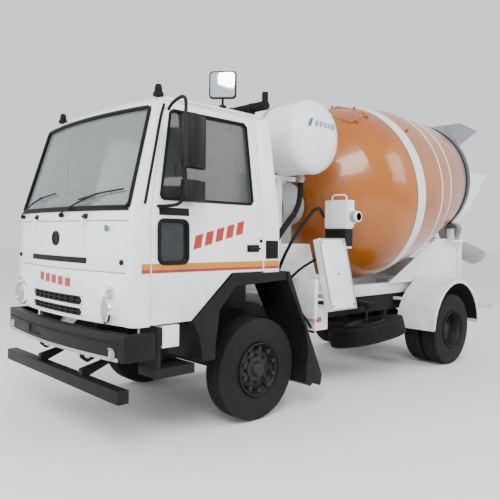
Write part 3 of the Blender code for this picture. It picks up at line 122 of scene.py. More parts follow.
def makeFinish(name, look):
    made = bpy.data.materials.new(name)
    made.use_nodes = True
    tree = made.node_tree
    shader = tree.nodes["Principled BSDF"]
    add, link = tree.nodes.new, tree.links.new
    where = add("ShaderNodeTexCoord").outputs["Object"]

    def cloud(scale, detail, low, high, stretch=None):
        noise = add("ShaderNodeTexNoise")
        noise.inputs["Scale"].default_value = scale
        noise.inputs["Detail"].default_value = detail
        if stretch:
            pull = add("ShaderNodeMapping")
            pull.inputs["Scale"].default_value = stretch
            link(where, pull.inputs["Vector"])
            link(pull.outputs["Vector"], noise.inputs["Vector"])
        else:
            link(where, noise.inputs["Vector"])
        ramp = add("ShaderNodeMapRange")
        ramp.inputs["From Min"].default_value = low
        ramp.inputs["From Max"].default_value = high
        link(noise.outputs["Fac"], ramp.inputs["Value"])
        return ramp.outputs["Result"]

    def calc(kind, a, b):
        node = add("ShaderNodeMath")
        node.operation = kind
        node.use_clamp = True
        for socket, value in zip(node.inputs, (a, b)):
            if isinstance(value, (int, float)):
                socket.default_value = value
            else:
                link(value, socket)
        return node.outputs[0]

    def blend(amount, first, second):
        node = add("ShaderNodeMix")
        node.data_type = "RGBA"
        link(amount, node.inputs["Factor"])
        for key, value in ((6, first), (7, second)):
            if isinstance(value, tuple):
                node.inputs[key].default_value = (*value, 1)
            else:
                link(value, node.inputs[key])
        return node.outputs[2]

    patches = cloud(1.7, 5, 0.38, 0.68)
    specks = cloud(38, 4, 0.58, 0.74)
    streaks = cloud(1.0, 4, 0.52, 0.80, (16, 16, 1.3))
    split = add("ShaderNodeSeparateXYZ")
    link(where, split.inputs[0])
    height = add("ShaderNodeMapRange")
    height.inputs["From Min"].default_value, height.inputs["From Max"].default_value = look["low"]
    height.inputs["To Min"].default_value, height.inputs["To Max"].default_value = 1, 0
    link(split.outputs["Z"], height.inputs["Value"])
    lower = calc("MULTIPLY", height.outputs["Result"], calc("MULTIPLY", cloud(5, 6, 0.30, 0.62), look["lowAmount"]))
    soil = calc("MULTIPLY", calc("ADD", calc("MULTIPLY", specks, 0.7), calc("MULTIPLY", streaks, 0.6)), look["amount"])
    mask = calc("ADD", soil, lower)
    tone = blend(patches, look["colour"], look["shade"])
    if "bands" in look:
        tone = look["bands"](tree, where, tone)
    link(blend(mask, tone, look["dirt"]), shader.inputs["Base Color"])
    rough = add("ShaderNodeMapRange")
    rough.inputs["To Min"].default_value = look["rough"]
    rough.inputs["To Max"].default_value = min(look["rough"] + 0.35, 1)
    link(calc("ADD", mask, calc("MULTIPLY", patches, 0.25)), rough.inputs["Value"])
    link(rough.outputs["Result"], shader.inputs["Roughness"])
    shader.inputs["Metallic"].default_value = look.get("metal", 0)
    shader.inputs["Coat Weight"].default_value = look["coat"]
    shader.inputs["Specular IOR Level"].default_value = look.get("shine", 0.5)
    shader.inputs["Coat Roughness"].default_value = 0.08
    bump = add("ShaderNodeBump")
    bump.inputs["Strength"].default_value = look["grain"]
    bump.inputs["Distance"].default_value = 0.004
    link(cloud(look.get("weave", 85), 3, 0.3, 0.7), bump.inputs["Height"])
    link(bump.outputs["Normal"], shader.inputs["Normal"])
    return made


drumBands = [(0.0, None), (2.585, (0.09, 0.05, 0.02)), (2.605, (0.80, 0.80, 0.78)), (2.785, (0.09, 0.05, 0.02)),
             (2.80, None), (3.305, (0.80, 0.80, 0.78)), (3.335, None), (3.685, (0.80, 0.80, 0.78)), (3.715, None),
             (4.40, (0.030, 0.028, 0.028))]


def paintBands(tree, where, tone):
    turn = tree.nodes.new("ShaderNodeMapping")
    turn.inputs["Rotation"].default_value = (-drumTilt, 0, 0)
    turn.inputs["Location"].default_value = (0, -home.y * math.cos(drumTilt) - drumBaseZ * math.sin(drumTilt), 0)
    tree.links.new(where, turn.inputs["Vector"])
    split = tree.nodes.new("ShaderNodeSeparateXYZ")
    tree.links.new(turn.outputs["Vector"], split.inputs[0])
    for start, colour in drumBands[1:]:
        stops = [s for s, _ in drumBands if s > start] + [9.0]
        if colour is None:
            continue
        inside = tree.nodes.new("ShaderNodeMath")
        inside.operation = "COMPARE"
        inside.inputs[1].default_value = (start + stops[0]) / 2
        inside.inputs[2].default_value = (stops[0] - start) / 2
        tree.links.new(split.outputs["Y"], inside.inputs[0])
        mix = tree.nodes.new("ShaderNodeMix")
        mix.data_type = "RGBA"
        tree.links.new(inside.outputs[0], mix.inputs["Factor"])
        tree.links.new(tone, mix.inputs[6])
        mix.inputs[7].default_value = (*colour, 1)
        tone = mix.outputs[2]
    return tone


finishes["drumPaint"] = dict(finishes["orangePaint"], bands=paintBands, amount=0.25)
materials = {name: makeFinish(name, look) for name, look in finishes.items()}


def makeGlass(name, colour, alpha, rough=0.03, glow=None):
    # Tinted clear or lens material with faint dust
    made = bpy.data.materials.new(name)
    made.use_nodes = True
    tree = made.node_tree
    shader = tree.nodes["Principled BSDF"]
    shader.inputs["Metallic"].default_value = 0
    shader.inputs["Alpha"].default_value = alpha
    shader.inputs["IOR"].default_value = 1.5
    noise = tree.nodes.new("ShaderNodeTexNoise")
    noise.inputs["Scale"].default_value = 9
    noise.inputs["Detail"].default_value = 8
    tree.links.new(tree.nodes.new("ShaderNodeTexCoord").outputs["Object"], noise.inputs["Vector"])
    spread = tree.nodes.new("ShaderNodeMapRange")
    spread.inputs["To Min"].default_value = rough
    spread.inputs["To Max"].default_value = rough + 0.12
    tree.links.new(noise.outputs["Fac"], spread.inputs["Value"])
    tree.links.new(spread.outputs["Result"], shader.inputs["Roughness"])
    mix = tree.nodes.new("ShaderNodeMix")
    mix.data_type = "RGBA"
    mix.inputs[6].default_value = (*colour, 1)
    mix.inputs[7].default_value = (*[c * 0.8 + 0.03 for c in colour], 1)
    tree.links.new(noise.outputs["Fac"], mix.inputs["Factor"])
    tree.links.new(mix.outputs[2], shader.inputs["Base Color"])
    made.blend_method = "BLEND"
    return made


materials["screenGlass"] = makeGlass("screenGlass", (0.30, 0.34, 0.34), 0.42)
materials["doorGlass"] = makeGlass("doorGlass", (0.035, 0.040, 0.040), 0.62)
materials["kerbGlass"] = makeGlass("kerbGlass", (0.012, 0.014, 0.015), 0.90)
materials["amberLens"] = makeGlass("amberLens", (0.85, 0.25, 0.02), 1.0, 0.15)
materials["redLens"] = makeGlass("redLens", (0.60, 0.02, 0.01), 1.0, 0.15)
materials["clearLens"] = makeGlass("clearLens", (0.34, 0.37, 0.38), 1.0, 0.08)
materials["mirrorGlass"] = makeGlass("mirrorGlass", (0.80, 0.84, 0.88), 1.0, 0.03)
materials["greenBadge"] = makeGlass("greenBadge", (0.01, 0.16, 0.07), 1.0, 0.3)
materials["mirrorGlass"].node_tree.nodes["Principled BSDF"].inputs["Metallic"].default_value = 1.0
print("materials made")


# ---- shaping in code
def startFresh():
    if bpy.context.object and bpy.context.object.mode != "OBJECT":
        bpy.ops.object.mode_set(mode="OBJECT")
    bpy.ops.object.select_all(action="DESELECT")


def only(piece):
    startFresh()
    piece.select_set(True)
    bpy.context.view_layer.objects.active = piece


def applyAll(piece):
    only(piece)
    for modifier in list(piece.modifiers):
        bpy.ops.object.modifier_apply(modifier=modifier.name)
    return piece


def settle(piece):
    # Puts the place into the mesh and the object back at the origin
    only(piece)
    bpy.ops.object.transform_apply(location=True, rotation=True, scale=True)
    return piece


def bevel(piece, width, segments=2, angle=35):
    step = piece.modifiers.new("edge", "BEVEL")
    step.width = width
    step.segments = segments
    step.limit_method = "ANGLE"
    step.angle_limit = math.radians(angle)
    return applyAll(piece)


def smooth(piece, angle=35):
    only(piece)
    bpy.ops.object.shade_smooth_by_angle(angle=math.radians(angle))
    return piece


def block(low, high, edge=0.004, segments=2):
    startFresh()
    low, high = Vector(low), Vector(high)
    bpy.ops.mesh.primitive_cube_add(size=1, location=(low + high) / 2)
    piece = bpy.context.object
    piece.scale = high - low
    settle(piece)
    return bevel(piece, edge, segments) if edge else piece


def bar(start, end, radius, sides=20, edge=0.002, endRadius=None):
    startFresh()
    start, end = Vector(start), Vector(end)
    line = end - start
    bpy.ops.mesh.primitive_cone_add(vertices=sides, radius1=radius, radius2=radius if endRadius is None else endRadius,
                                    depth=line.length, location=(start + end) / 2,
                                    rotation=line.to_track_quat("Z", "Y").to_euler())
    piece = settle(bpy.context.object)
    return bevel(piece, edge, 2, 50) if edge else piece


def plate(outline, along, low, high, edge=0.003, segments=2):
    # An outline in the plane across an axis, extruded along it
    startFresh()
    bpy.ops.mesh.primitive_circle_add(vertices=len(outline), fill_type="NGON")
    piece = bpy.context.object
    for corner, (a, b) in zip(piece.data.vertices, outline):
        corner.co = {"X": (low, a, b), "Y": (a, low, b), "Z": (a, b, low)}[along]
    bpy.ops.object.mode_set(mode="EDIT")
    bpy.ops.mesh.select_all(action="SELECT")
    move = {"X": (high - low, 0, 0), "Y": (0, high - low, 0), "Z": (0, 0, high - low)}[along]
    bpy.ops.mesh.extrude_region_move(TRANSFORM_OT_translate={"value": move})
    bpy.ops.mesh.select_all(action="SELECT")
    bpy.ops.mesh.normals_make_consistent(inside=False)
    bpy.ops.object.mode_set(mode="OBJECT")
    return bevel(piece, edge, segments) if edge else piece


def lathe(profile, steps=64, closed=True):
    # A profile of (along, radius) spun about the X axis
    startFresh()
    bpy.ops.mesh.primitive_circle_add(vertices=len(profile), fill_type="NOTHING")
    piece = bpy.context.object
    for corner, (along, radius) in zip(piece.data.vertices, profile):
        corner.co = (along, 0, max(radius, 0))
    bpy.ops.object.mode_set(mode="EDIT")
    if not closed:
        bpy.ops.mesh.select_all(action="DESELECT")
        bpy.ops.object.mode_set(mode="OBJECT")
        last = len(profile) - 1
        for edge in piece.data.edges:
            edge.select = set(edge.vertices) == {0, last}
        bpy.ops.object.mode_set(mode="EDIT")
        bpy.ops.mesh.select_mode(type="EDGE")
        bpy.ops.mesh.delete(type="EDGE")
        bpy.ops.mesh.select_mode(type="VERT")
    bpy.ops.mesh.select_all(action="SELECT")
    bpy.ops.mesh.spin(steps=steps, angle=2 * math.pi, center=(0, 0, 0), axis=(1, 0, 0))
    bpy.ops.mesh.select_all(action="SELECT")
    bpy.ops.mesh.remove_doubles(threshold=0.00005)
    bpy.ops.mesh.normals_make_consistent(inside=False)
    bpy.ops.object.mode_set(mode="OBJECT")
    return piece


def tube(points, radius, loop=False, sides=4):
    # A round bar or hose through the points
    startFresh()
    bpy.ops.curve.primitive_bezier_curve_add()
    piece = bpy.context.object
    spline = piece.data.splines[0]
    spline.bezier_points.add(len(points) - 2)
    for knot, place in zip(spline.bezier_points, points):
        knot.co = place
        knot.handle_left_type = knot.handle_right_type = "AUTO"
    spline.use_cyclic_u = loop
    piece.data.dimensions = "3D"
    piece.data.resolution_u = 6
    piece.data.bevel_depth = radius
    piece.data.bevel_resolution = sides
    piece.data.use_fill_caps = True
    only(piece)
    bpy.ops.object.convert(target="MESH")
    return settle(bpy.context.object)


def band(points, radius, loop=True):
    # A tube with straight runs and tight corners
    tight = []
    count = len(points)
    for i, point in enumerate(points):
        here, before, after = Vector(point), Vector(points[i - 1]), Vector(points[(i + 1) % count])
        if not loop and i in (0, count - 1):
            tight.append(here)
            continue
        for other in (before, after):
            step = other - here
            tight.append(here + step * min(0.03 / step.length, 0.4))
    startFresh()
    bpy.ops.curve.primitive_nurbs_path_add()
    piece = bpy.context.object
    piece.data.splines.clear()
    spline = piece.data.splines.new("POLY")
    spline.points.add(len(tight) - 1)
    for knot, place in zip(spline.points, tight):
        knot.co = (*place, 1)
    spline.use_cyclic_u = loop
    piece.data.dimensions = "3D"
    piece.data.bevel_depth = radius
    piece.data.bevel_resolution = 2
    piece.data.use_fill_caps = not loop
    only(piece)
    bpy.ops.object.convert(target="MESH")
    return settle(bpy.context.object)


def carve(piece, *cutters):
    for cutter in cutters:
        step = piece.modifiers.new("carve", "BOOLEAN")
        step.object = cutter
        step.operation = "DIFFERENCE"
        applyAll(piece)
        bpy.data.objects.remove(cutter)
    return piece


def together(pieces):
    startFresh()
    for piece in pieces:
        piece.select_set(True)
    bpy.context.view_layer.objects.active = pieces[0]
    if len(pieces) > 1:
        bpy.ops.object.join()
    return bpy.context.object


def moved(piece, matrix):
    piece.data.transform(matrix)
    if matrix.determinant() < 0:
        piece.data.flip_normals()
    return piece


def copied(piece):
    twin = piece.copy()
    twin.data = piece.data.copy()
    bpy.context.collection.objects.link(twin)
    return twin


def softened(node, edge=0.005, segments=2):
    # A copy of a CAD node with its edges rounded
    twin = copied(nodes[node])
    twin.parent = None
    twin.matrix_world = Matrix.Identity(4)
    only(twin)
    bpy.ops.object.mode_set(mode="EDIT")
    bpy.ops.mesh.select_all(action="SELECT")
    bpy.ops.mesh.remove_doubles(threshold=0.0001)
    bpy.ops.mesh.dissolve_limited(angle_limit=math.radians(1.5))
    bpy.ops.object.mode_set(mode="OBJECT")
    twin.data.transform(Matrix.Translation(-home))
    return bevel(twin, edge, segments, 30)


def done(piece, name, body, material, replaces=(), angle=35):
    piece.name = piece.data.name = name
    piece.data.materials.clear()
    piece.data.materials.append(materials[material])
    piece.data.transform(Matrix.Translation(home))
    if angle:
        smooth(piece, angle)
    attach(piece, body)
    if replaces:
        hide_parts(*replaces)
    return piece


def add(piece, name, body, material, replaces=(), angle=35):
    return done(piece, name, body, material, replaces, angle)


# ---- CAD nodes that keep their shape, with rounded edges
roundedNodes = {
    "cab_shell": ("cab", "whitePaint", 0.010, 3), "front_panel": ("cab", "whitePaint", 0.006, 2),
    "front_flap": ("front_flap", "whitePaint", 0.006, 2), "door_left": ("door_left", "whitePaint", 0.004, 2),
    "door_right": ("door_right", "whitePaint", 0.004, 2), "front_bumper": ("chassis", "blackPlastic", 0.010, 3),
    "underrun_bar": ("chassis", "blackPlastic", 0.006, 2), "entry_step_left": ("chassis", "blackPlastic", 0.005, 2),
    "entry_step_right": ("chassis", "blackPlastic", 0.005, 2),
    "wheel_arch_left": ("cab", "blackPlastic", 0.010, 3), "wheel_arch_right": ("cab", "blackPlastic", 0.010, 3),
    "front_mudguard_left": ("chassis", "blackPlastic", 0.010, 3),
    "front_mudguard_right": ("chassis", "blackPlastic", 0.010, 3),
    "chassis_frame": ("chassis", "chassisPaint", 0.004, 1), "mixer_subframe": ("chassis", "whitePaint", 0.006, 2),
    "engine_block": ("chassis", "chassisPaint", 0.012, 2), "fuel_tank": ("chassis", "whitePaint", 0.020, 3),
    "battery_box": ("chassis", "whitePaint", 0.006, 2), "control_box": ("chassis", "whitePaint", 0.010, 3),
    "front_pedestal": ("chassis", "whitePaint", 0.005, 2), "rear_pedestal": ("chassis", "whitePaint", 0.004, 2),
    "rear_bar": ("chassis", "whitePaint", 0.006, 2), "ladder": ("chassis", "whitePaint", 0.004, 2),
    "extension_chute": ("chassis", "whitePaint", 0.005, 2), "chute_arm": ("chute_arm", "whitePaint", 0.004, 2),
    "dashboard": ("cab", "blackPlastic", 0.012, 3), "mirror_left": ("door_left", "blackPlastic", 0.008, 2),
}
plainNodes = {
    "front_axle": "chassisPaint", "rear_axle": "chassisPaint", "knuckle_left": "chassisPaint",
    "knuckle_right": "chassisPaint", "drum_gearbox": "greyPaint", "silencer": "bareSteel", "hopper": "greyPaint",
    "discharge_funnel": "whitePaint", "chute": "greyPaint", "drum_roller_left": "bareSteel",
    "drum_roller_right": "bareSteel", "windscreen": "screenGlass",
    "steering_wheel": "blackPlastic", "spare_wheel": "tyreRubber", "rear_mudguard_left": "whitePaint",
    "rear_mudguard_right": "whitePaint",
}
for node, (body, material, edge, segments) in roundedNodes.items():
    add(softened(node, edge, segments), node + "_body", body, material, (node,))
for node, material in plainNodes.items():
    nodes[node].data.materials.clear()
    nodes[node].data.materials.append(materials[material])
    smooth(nodes[node], 32)
print("frame pieces dressed")

# ---- the cab's surfaces, for what lies on them
cabSections = [(1.03, 1.10, -1.42, 0.125), (1.44, 1.10, -1.42, 0.125), (1.93, 1.09, -1.39, 0.125),
               (2.79, 0.985, -1.15, 0.10), (2.87, 0.95, -1.06, 0.09), (2.91, 0.86, -0.94, 0.08)]


def sectionAt(z):
    pairs = list(zip(cabSections, cabSections[1:]))
    low, high = pairs[0]
    for a, b in pairs:
        if z >= a[0]:
            low, high = a, b
    t = (z - low[0]) / (high[0] - low[0])
    return [p + (q - p) * t for p, q in zip(low, high)]


def nose(x, z, out=0.0):
    _, half, corner, bow = sectionAt(z)
    return Vector((x, corner - bow * (1 - min(abs(x) / half, 1) ** 2) - out, z))


def flank(y, z, out=0.0, side=1):
    return Vector((side * (sectionAt(z)[1] + out), y, z))


def noseStrip(left, right, low, high, thick=0.003, columns=24, rows=1, out=0.0):
    # A thin sheet that follows the bow of the cab's front
    startFresh()
    bpy.ops.mesh.primitive_grid_add(x_subdivisions=columns, y_subdivisions=rows, size=1)
    piece = bpy.context.object
    for corner in piece.data.vertices:
        x = left + (right - left) * (corner.co.x + 0.5)
        z = low + (high - low) * (corner.co.y + 0.5)
        corner.co = nose(x, z, out)
    step = piece.modifiers.new("thick", "SOLIDIFY")
    step.thickness = thick
    step.offset = 1
    return applyAll(piece)


def flankStrip(points, side=1, thick=0.003, out=0.0):
    # A flat sheet on the cab's side, through (y, z) corners
    startFresh()
    bpy.ops.mesh.primitive_circle_add(vertices=len(points), fill_type="NGON")
    piece = bpy.context.object
    order = points if side > 0 else points[::-1]
    for corner, (y, z) in zip(piece.data.vertices, order):
        corner.co = flank(y, z, out, side)
    only(piece)
    bpy.ops.object.mode_set(mode="EDIT")
    bpy.ops.mesh.select_all(action="SELECT")
    bpy.ops.mesh.extrude_region_move(TRANSFORM_OT_translate={"value": (side * thick, 0, 0)})
    bpy.ops.mesh.select_all(action="SELECT")
    bpy.ops.mesh.normals_make_consistent(inside=False)
    bpy.ops.object.mode_set(mode="OBJECT")
    return piece


def roundedBox(low, high, radius, steps=4):
    # Corners of a rounded rectangle, as (a, b) points
    corners = []
    for centre, start in (((high[0] - radius, high[1] - radius), 0), ((low[0] + radius, high[1] - radius), 90),
                          ((low[0] + radius, low[1] + radius), 180), ((high[0] - radius, low[1] + radius), 270)):
        for i in range(steps + 1):
            turn = math.radians(start + 90 * i / steps)
            corners.append((centre[0] + radius * math.cos(turn), centre[1] + radius * math.sin(turn)))
    return corners


# ---- tyres and wheels
tyreLook = {"radius": 0.49, "width": 0.235, "bead": 0.254, "steps": 108, "groove": 0.010, "spacing": 0.265}


def makeTyre():
    half, top, bead, deep = tyreLook["width"] / 2, tyreLook["radius"], tyreLook["bead"], tyreLook["groove"]
    wall = [(0.62 * half, bead - 0.004), (0.86 * half, bead - 0.002), (0.90 * half, bead + 0.012),
            (0.88 * half, bead + 0.020), (0.955 * half, bead + 0.060), (half, bead + 0.100), (half, bead + 0.104),
            (0.985 * half, bead + 0.108), (half * 0.995, bead + 0.145), (0.97 * half, top - 0.052),
            (0.94 * half, top - 0.034), (0.90 * half, top - 0.012)]
    tread = [(0.80 * half, top - 0.003)]
    for place in (0.52, 0.17):
        tread += [(place * half + 0.006, top - 0.001), (place * half + 0.004, top - deep),
                  (place * half - 0.004, top - deep), (place * half - 0.006, top - 0.0005)]
    side = wall + tread
    profile = side + [(-a, r) for a, r in reversed(side)]
    tyre = lathe(profile + [(-0.5 * half, bead + 0.02), (0.5 * half, bead + 0.02)], tyreLook["steps"])
    only(tyre)
    step = 2 * math.pi / tyreLook["steps"]
    for face in tyre.data.polygons:
        centre = face.center
        radius = math.hypot(centre.y, centre.z)
        slice_ = int((math.atan2(centre.z, centre.y) + math.pi) / step)
        shoulder = abs(centre.x) > 0.80 * half and radius > top - 0.045
        lug = 0.53 * half < abs(centre.x) < 0.80 * half and radius > top - 0.006
        middle = 0.20 * half < abs(centre.x) < 0.50 * half and radius > top - 0.006
        face.select = (shoulder and slice_ % 3 == 0) or (lug and slice_ % 3 == 0) or (middle and slice_ % 6 == 2)
    bpy.ops.object.mode_set(mode="EDIT")
    bpy.ops.mesh.select_mode(type="FACE")
    bpy.ops.mesh.inset(thickness=0.0015, depth=-0.007)
    bpy.ops.mesh.select_mode(type="VERT")
    bpy.ops.object.mode_set(mode="OBJECT")
    return tyre


def makeHub(parts):
    # Nuts, studs and cap on a wheel's disc
    made = [lathe(parts["cap"], 40, closed=False)]
    for i in range(parts["nuts"]):
        turn = 2 * math.pi * i / parts["nuts"]
        y, z = parts["circle"] * math.cos(turn), parts["circle"] * math.sin(turn)
        made.append(bar((parts["face"], y, z), (parts["face"] + 0.024, y, z), 0.0165, 6, 0.002))
        made.append(bar((parts["face"] + 0.02, y, z), (parts["face"] + 0.040, y, z), 0.009, 10, 0.001))
    return made


def makeRim(profile, holes):
    rim = lathe(profile, 72)
    cutters = []
    for i in range(holes["count"]):
        turn = 2 * math.pi * (i + 0.5) / holes["count"]
        y, z = holes["circle"] * math.cos(turn), holes["circle"] * math.sin(turn)
        cutters.append(bar((holes["low"], y, z), (holes["high"], y, z), holes["radius"], 20, 0))
    return carve(rim, *cutters)


frontWheel = {"rim": [(0.128, 0.246), (0.124, 0.252), (0.112, 0.2535), (0.100, 0.244), (0.085, 0.236), (0.060, 0.228),
                      (0.048, 0.212), (0.056, 0.185), (0.066, 0.160), (0.068, 0.100), (0.058, 0.100), (0.056, 0.150),
                      (0.044, 0.180), (0.034, 0.214), (0.048, 0.236), (0.080, 0.244), (0.090, 0.2535), (-0.105, 0.2535),
                      (-0.118, 0.252), (-0.118, 0.248), (-0.100, 0.246), (0.00, 0.240), (0.110, 0.2485)],
              "holes": {"count": 10, "circle": 0.196, "low": 0.0, "high": 0.12, "radius": 0.019},
              "hub": {"cap": [(0.03, 0.0), (0.03, 0.118), (0.078, 0.116), (0.082, 0.108), (0.082, 0.075), (0.108, 0.066),
                              (0.118, 0.058), (0.120, 0.048), (0.126, 0.040), (0.128, 0.0)],
                      "nuts": 8, "circle": 0.134, "face": 0.066}}
rearWheel = {"rim": [(0.252, 0.246), (0.248, 0.252), (0.236, 0.2535), (0.226, 0.246), (0.210, 0.238), (0.080, 0.232),
                     (0.060, 0.215), (0.040, 0.190), (0.032, 0.160), (0.030, 0.100), (0.020, 0.100), (0.020, 0.160),
                     (0.028, 0.195), (0.040, 0.2535), (-0.22, 0.2535), (-0.235, 0.252), (-0.235, 0.247), (-0.05, 0.240),
                     (0.060, 0.242), (0.230, 0.2495)],
             "holes": {"count": 8, "circle": 0.196, "low": -0.02, "high": 0.08, "radius": 0.021},
             "hub": {"cap": [(-0.02, 0.0), (-0.02, 0.115), (0.045, 0.112), (0.060, 0.100), (0.135, 0.082), (0.148, 0.074),
                             (0.150, 0.040), (0.160, 0.030), (0.162, 0.0)],
                     "nuts": 8, "circle": 0.134, "face": 0.030}}


def onAxle(piece, side, x, y):
    turn = Matrix.Identity(4) if side > 0 else Matrix.Rotation(math.pi, 4, "Z")
    return moved(piece, Matrix.Translation((side * x, y, axleZ)) @ turn)


tyreModel = makeTyre()
frontRim, rearRim = makeRim(frontWheel["rim"], frontWheel["holes"]), makeRim(rearWheel["rim"], rearWheel["holes"])
frontHub, rearHub = together(makeHub(frontWheel["hub"])), together(makeHub(rearWheel["hub"]))
frontX, rearX = 0.9125, 0.83
for side, label in ((1, "left"), (-1, "right")):
    body = "front_wheel_" + label
    add(onAxle(copied(tyreModel), side, frontX, 0), "frontTyre_" + label, body, "tyreRubber", ("tyre_front_" + label,), 30)
    add(onAxle(copied(frontRim), side, frontX, 0), "frontRim_" + label, body, "wheelPaint", ("wheel_front_" + label,), 30)
    add(onAxle(copied(frontHub), side, frontX, 0), "frontHub_" + label, body, "wheelPaint", (), 30)
    body = "rear_wheels_" + label
    for place, step in (("outer", 0.5), ("inner", -0.5)):
        tyre = moved(copied(tyreModel), Matrix.Translation((tyreLook["spacing"] * step, 0, 0)))
        add(onAxle(tyre, side, rearX, wheelBase), "rearTyre_%s_%s" % (label, place), body, "tyreRubber",
            ("tyre_rear_%s_%s" % (label, place),), 30)
    add(onAxle(copied(rearRim), side, rearX, wheelBase), "rearRim_" + label, body, "wheelPaint",
        ("wheel_rear_" + label,), 30)
    add(onAxle(copied(rearHub), side, rearX, wheelBase), "rearHub_" + label, body, "wheelPaint", (), 30)

spare = {"place": (0.64, 2.30, 0.56), "lean": (8, -12)}
spareTurn = (Matrix.Translation(spare["place"]) @ Matrix.Rotation(math.radians(spare["lean"][0]), 4, "X")
             @ Matrix.Rotation(math.radians(spare["lean"][1]), 4, "Y") @ Matrix.Rotation(math.radians(90), 4, "Y"))
add(moved(copied(tyreModel), spareTurn), "spareTyre", "chassis", "tyreRubber", ("spare_wheel",), 30)
add(moved(copied(frontRim), spareTurn), "spareRim", "chassis", "wheelPaint", (), 30)
hanger = [bar((0.64, 2.30, 0.50), (0.64, 2.30, 0.90), 0.018, 14), block((0.432, 2.25, 0.87), (0.70, 2.35, 0.93), 0.006),
          block((0.56, 2.18, 0.50), (0.72, 2.42, 0.52), 0.004)]
add(together(hanger), "spareCarrier", "chassis", "chassisPaint")
for model in (tyreModel, frontRim, rearRim, frontHub, rearHub):
    bpy.data.objects.remove(model)
print("wheels made")

# ---- drum
drumLook = {"front": 1.54, "mouth": 4.95, "steps": 120, "sheet": 0.008, "ringAt": 4.62, "ringHalf": 0.045,
            "ringRadius": 0.875,
            "shell": [(1.54, 0.30), (1.60, 0.43), (1.67, 0.56), (1.85, 0.77), (2.03, 0.965), (2.17, 1.065),
                      (2.31, 1.132), (2.46, 1.158), (2.61, 1.17), (2.78, 1.17), (3.05, 1.148), (3.32, 1.12),
                      (3.52, 1.09), (3.70, 1.05), (4.00, 0.990), (4.30, 0.925), (4.54, 0.865)]}
drumPlace = Matrix.Translation((0, 0, drumBaseZ)) @ Matrix.Rotation(drumTilt, 4, "X") @ Matrix.Rotation(
    math.radians(90), 4, "Z")


def drumRadius(along):
    points = drumLook["shell"] + [(4.95, 0.66)]
    for (a, r), (b, q) in zip(points, points[1:]):
        if a <= along <= b:
            return r + (q - r) * (along - a) / (b - a)
    return 0.3


def makeDrum():
    sheet, at, half = drumLook["sheet"], drumLook["ringAt"], drumLook["ringHalf"]
    outer = []
    for along, radius in drumLook["shell"]:
        outer.append((along, radius))
        if along in (2.03, 2.61, 2.78, 3.32, 3.70):  # raised weld seams
            outer += [(along + 0.004, radius + 0.0035), (along + 0.010, radius + 0.0035), (along + 0.014, radius)]
    outer += [(at - half, 0.86), (at - half, drumLook["ringRadius"] - 0.004), (at - half + 0.005, drumLook["ringRadius"]),
              (at + half - 0.005, drumLook["ringRadius"]), (at + half, drumLook["ringRadius"] - 0.004),
              (at + half, 0.845), (4.80, 0.745), (drumLook["mouth"] - 0.03, 0.672), (drumLook["mouth"] - 0.02, 0.684),
              (drumLook["mouth"], 0.684), (drumLook["mouth"], 0.652)]
    inner = [(4.62, 0.837), (3.70, 1.042), (3.32, 1.112), (2.78, 1.162), (2.61, 1.162), (2.315, 1.122), (2.04, 0.957),
             (1.685, 0.55), (1.57, 0.28), (1.57, 0.0)]
    return moved(lathe([(1.54, 0.0)] + outer + inner, drumLook["steps"], closed=False), drumPlace)


add(makeDrum(), "drumShell", "drum", "drumPaint", ("drum",), 28)
spiral = []
for start in (0, math.pi):  # the mixing blades, seen through the mouth
    inside = []
    for i in range(40):
        along = 2.3 + 2.5 * i / 39
        turn = start + 5.2 * i / 39
        r = drumRadius(along) - 0.06
        inside.append(drumPlace @ Vector((along, r * math.cos(turn), r * math.sin(turn))))
    spiral.append(tube(inside, 0.035, sides=1))
add(together(spiral), "mixingBlades", "drum", "mortarGrey")


def onDrum(along, degrees, out=0.0):
    turn = math.radians(degrees)
    r = drumRadius(along) + out
    return drumPlace @ Vector((along, r * math.cos(turn), r * math.sin(turn)))


hatch = {"along": (2.17, 2.46), "turn": (98, 122)}
frameLine = [onDrum(a, t, 0.012) for a, t in ((hatch["along"][0], hatch["turn"][0]), (hatch["along"][1], hatch["turn"][0]),
             (hatch["along"][1], hatch["turn"][1]), (hatch["along"][0], hatch["turn"][1]))]
hatchParts = [band(frameLine, 0.018)]
for a, t in ((2.22, 96), (2.40, 96), (2.22, 124), (2.40, 124), (2.49, 110)):
    root = onDrum(a, t, -0.004)
    tip = onDrum(a, t, 0.040)
    hatchParts.append(bar(root, tip, 0.011, 12, 0.002))
    hatchParts.append(bar(root.lerp(tip, 0.45), root.lerp(tip, 0.8), 0.020, 6, 0.002))
add(together(hatchParts), "hatchFrame", "drum", "orangePaint")
lugs = [bar(onDrum(2.9, t, -0.006), onDrum(2.9, t, 0.035), 0.02, 12, 0.003) for t in (20, 140, 260)]
add(together(lugs), "liftingStuds", "drum", "orangePaint")
print("drum made")

# ---- glass, seals and trim of the cab
screenOutline = [(-1.0, 1.95), (1.0, 1.95), (0.925, 2.78), (-0.925, 2.78)]


def screenLine(x, z, inwards=0.0):
    return nose(x, z, 0.004 - inwards)


line = []
for i in range(13):
    line.append(screenLine(-0.985 + 1.97 * i / 12, 1.958))
for i in range(1, 6):
    line.append(screenLine(0.985 - 0.07 * i / 6, 1.958 + 0.815 * i / 6))
for i in range(13):
    line.append(screenLine(0.915 - 1.83 * i / 12, 2.773))
for i in range(1, 6):
    line.append(screenLine(-0.915 - 0.07 * i / 6, 2.773 - 0.815 * i / 6))
add(band(line, 0.017), "screenSeal", "cab", "sealRubber")

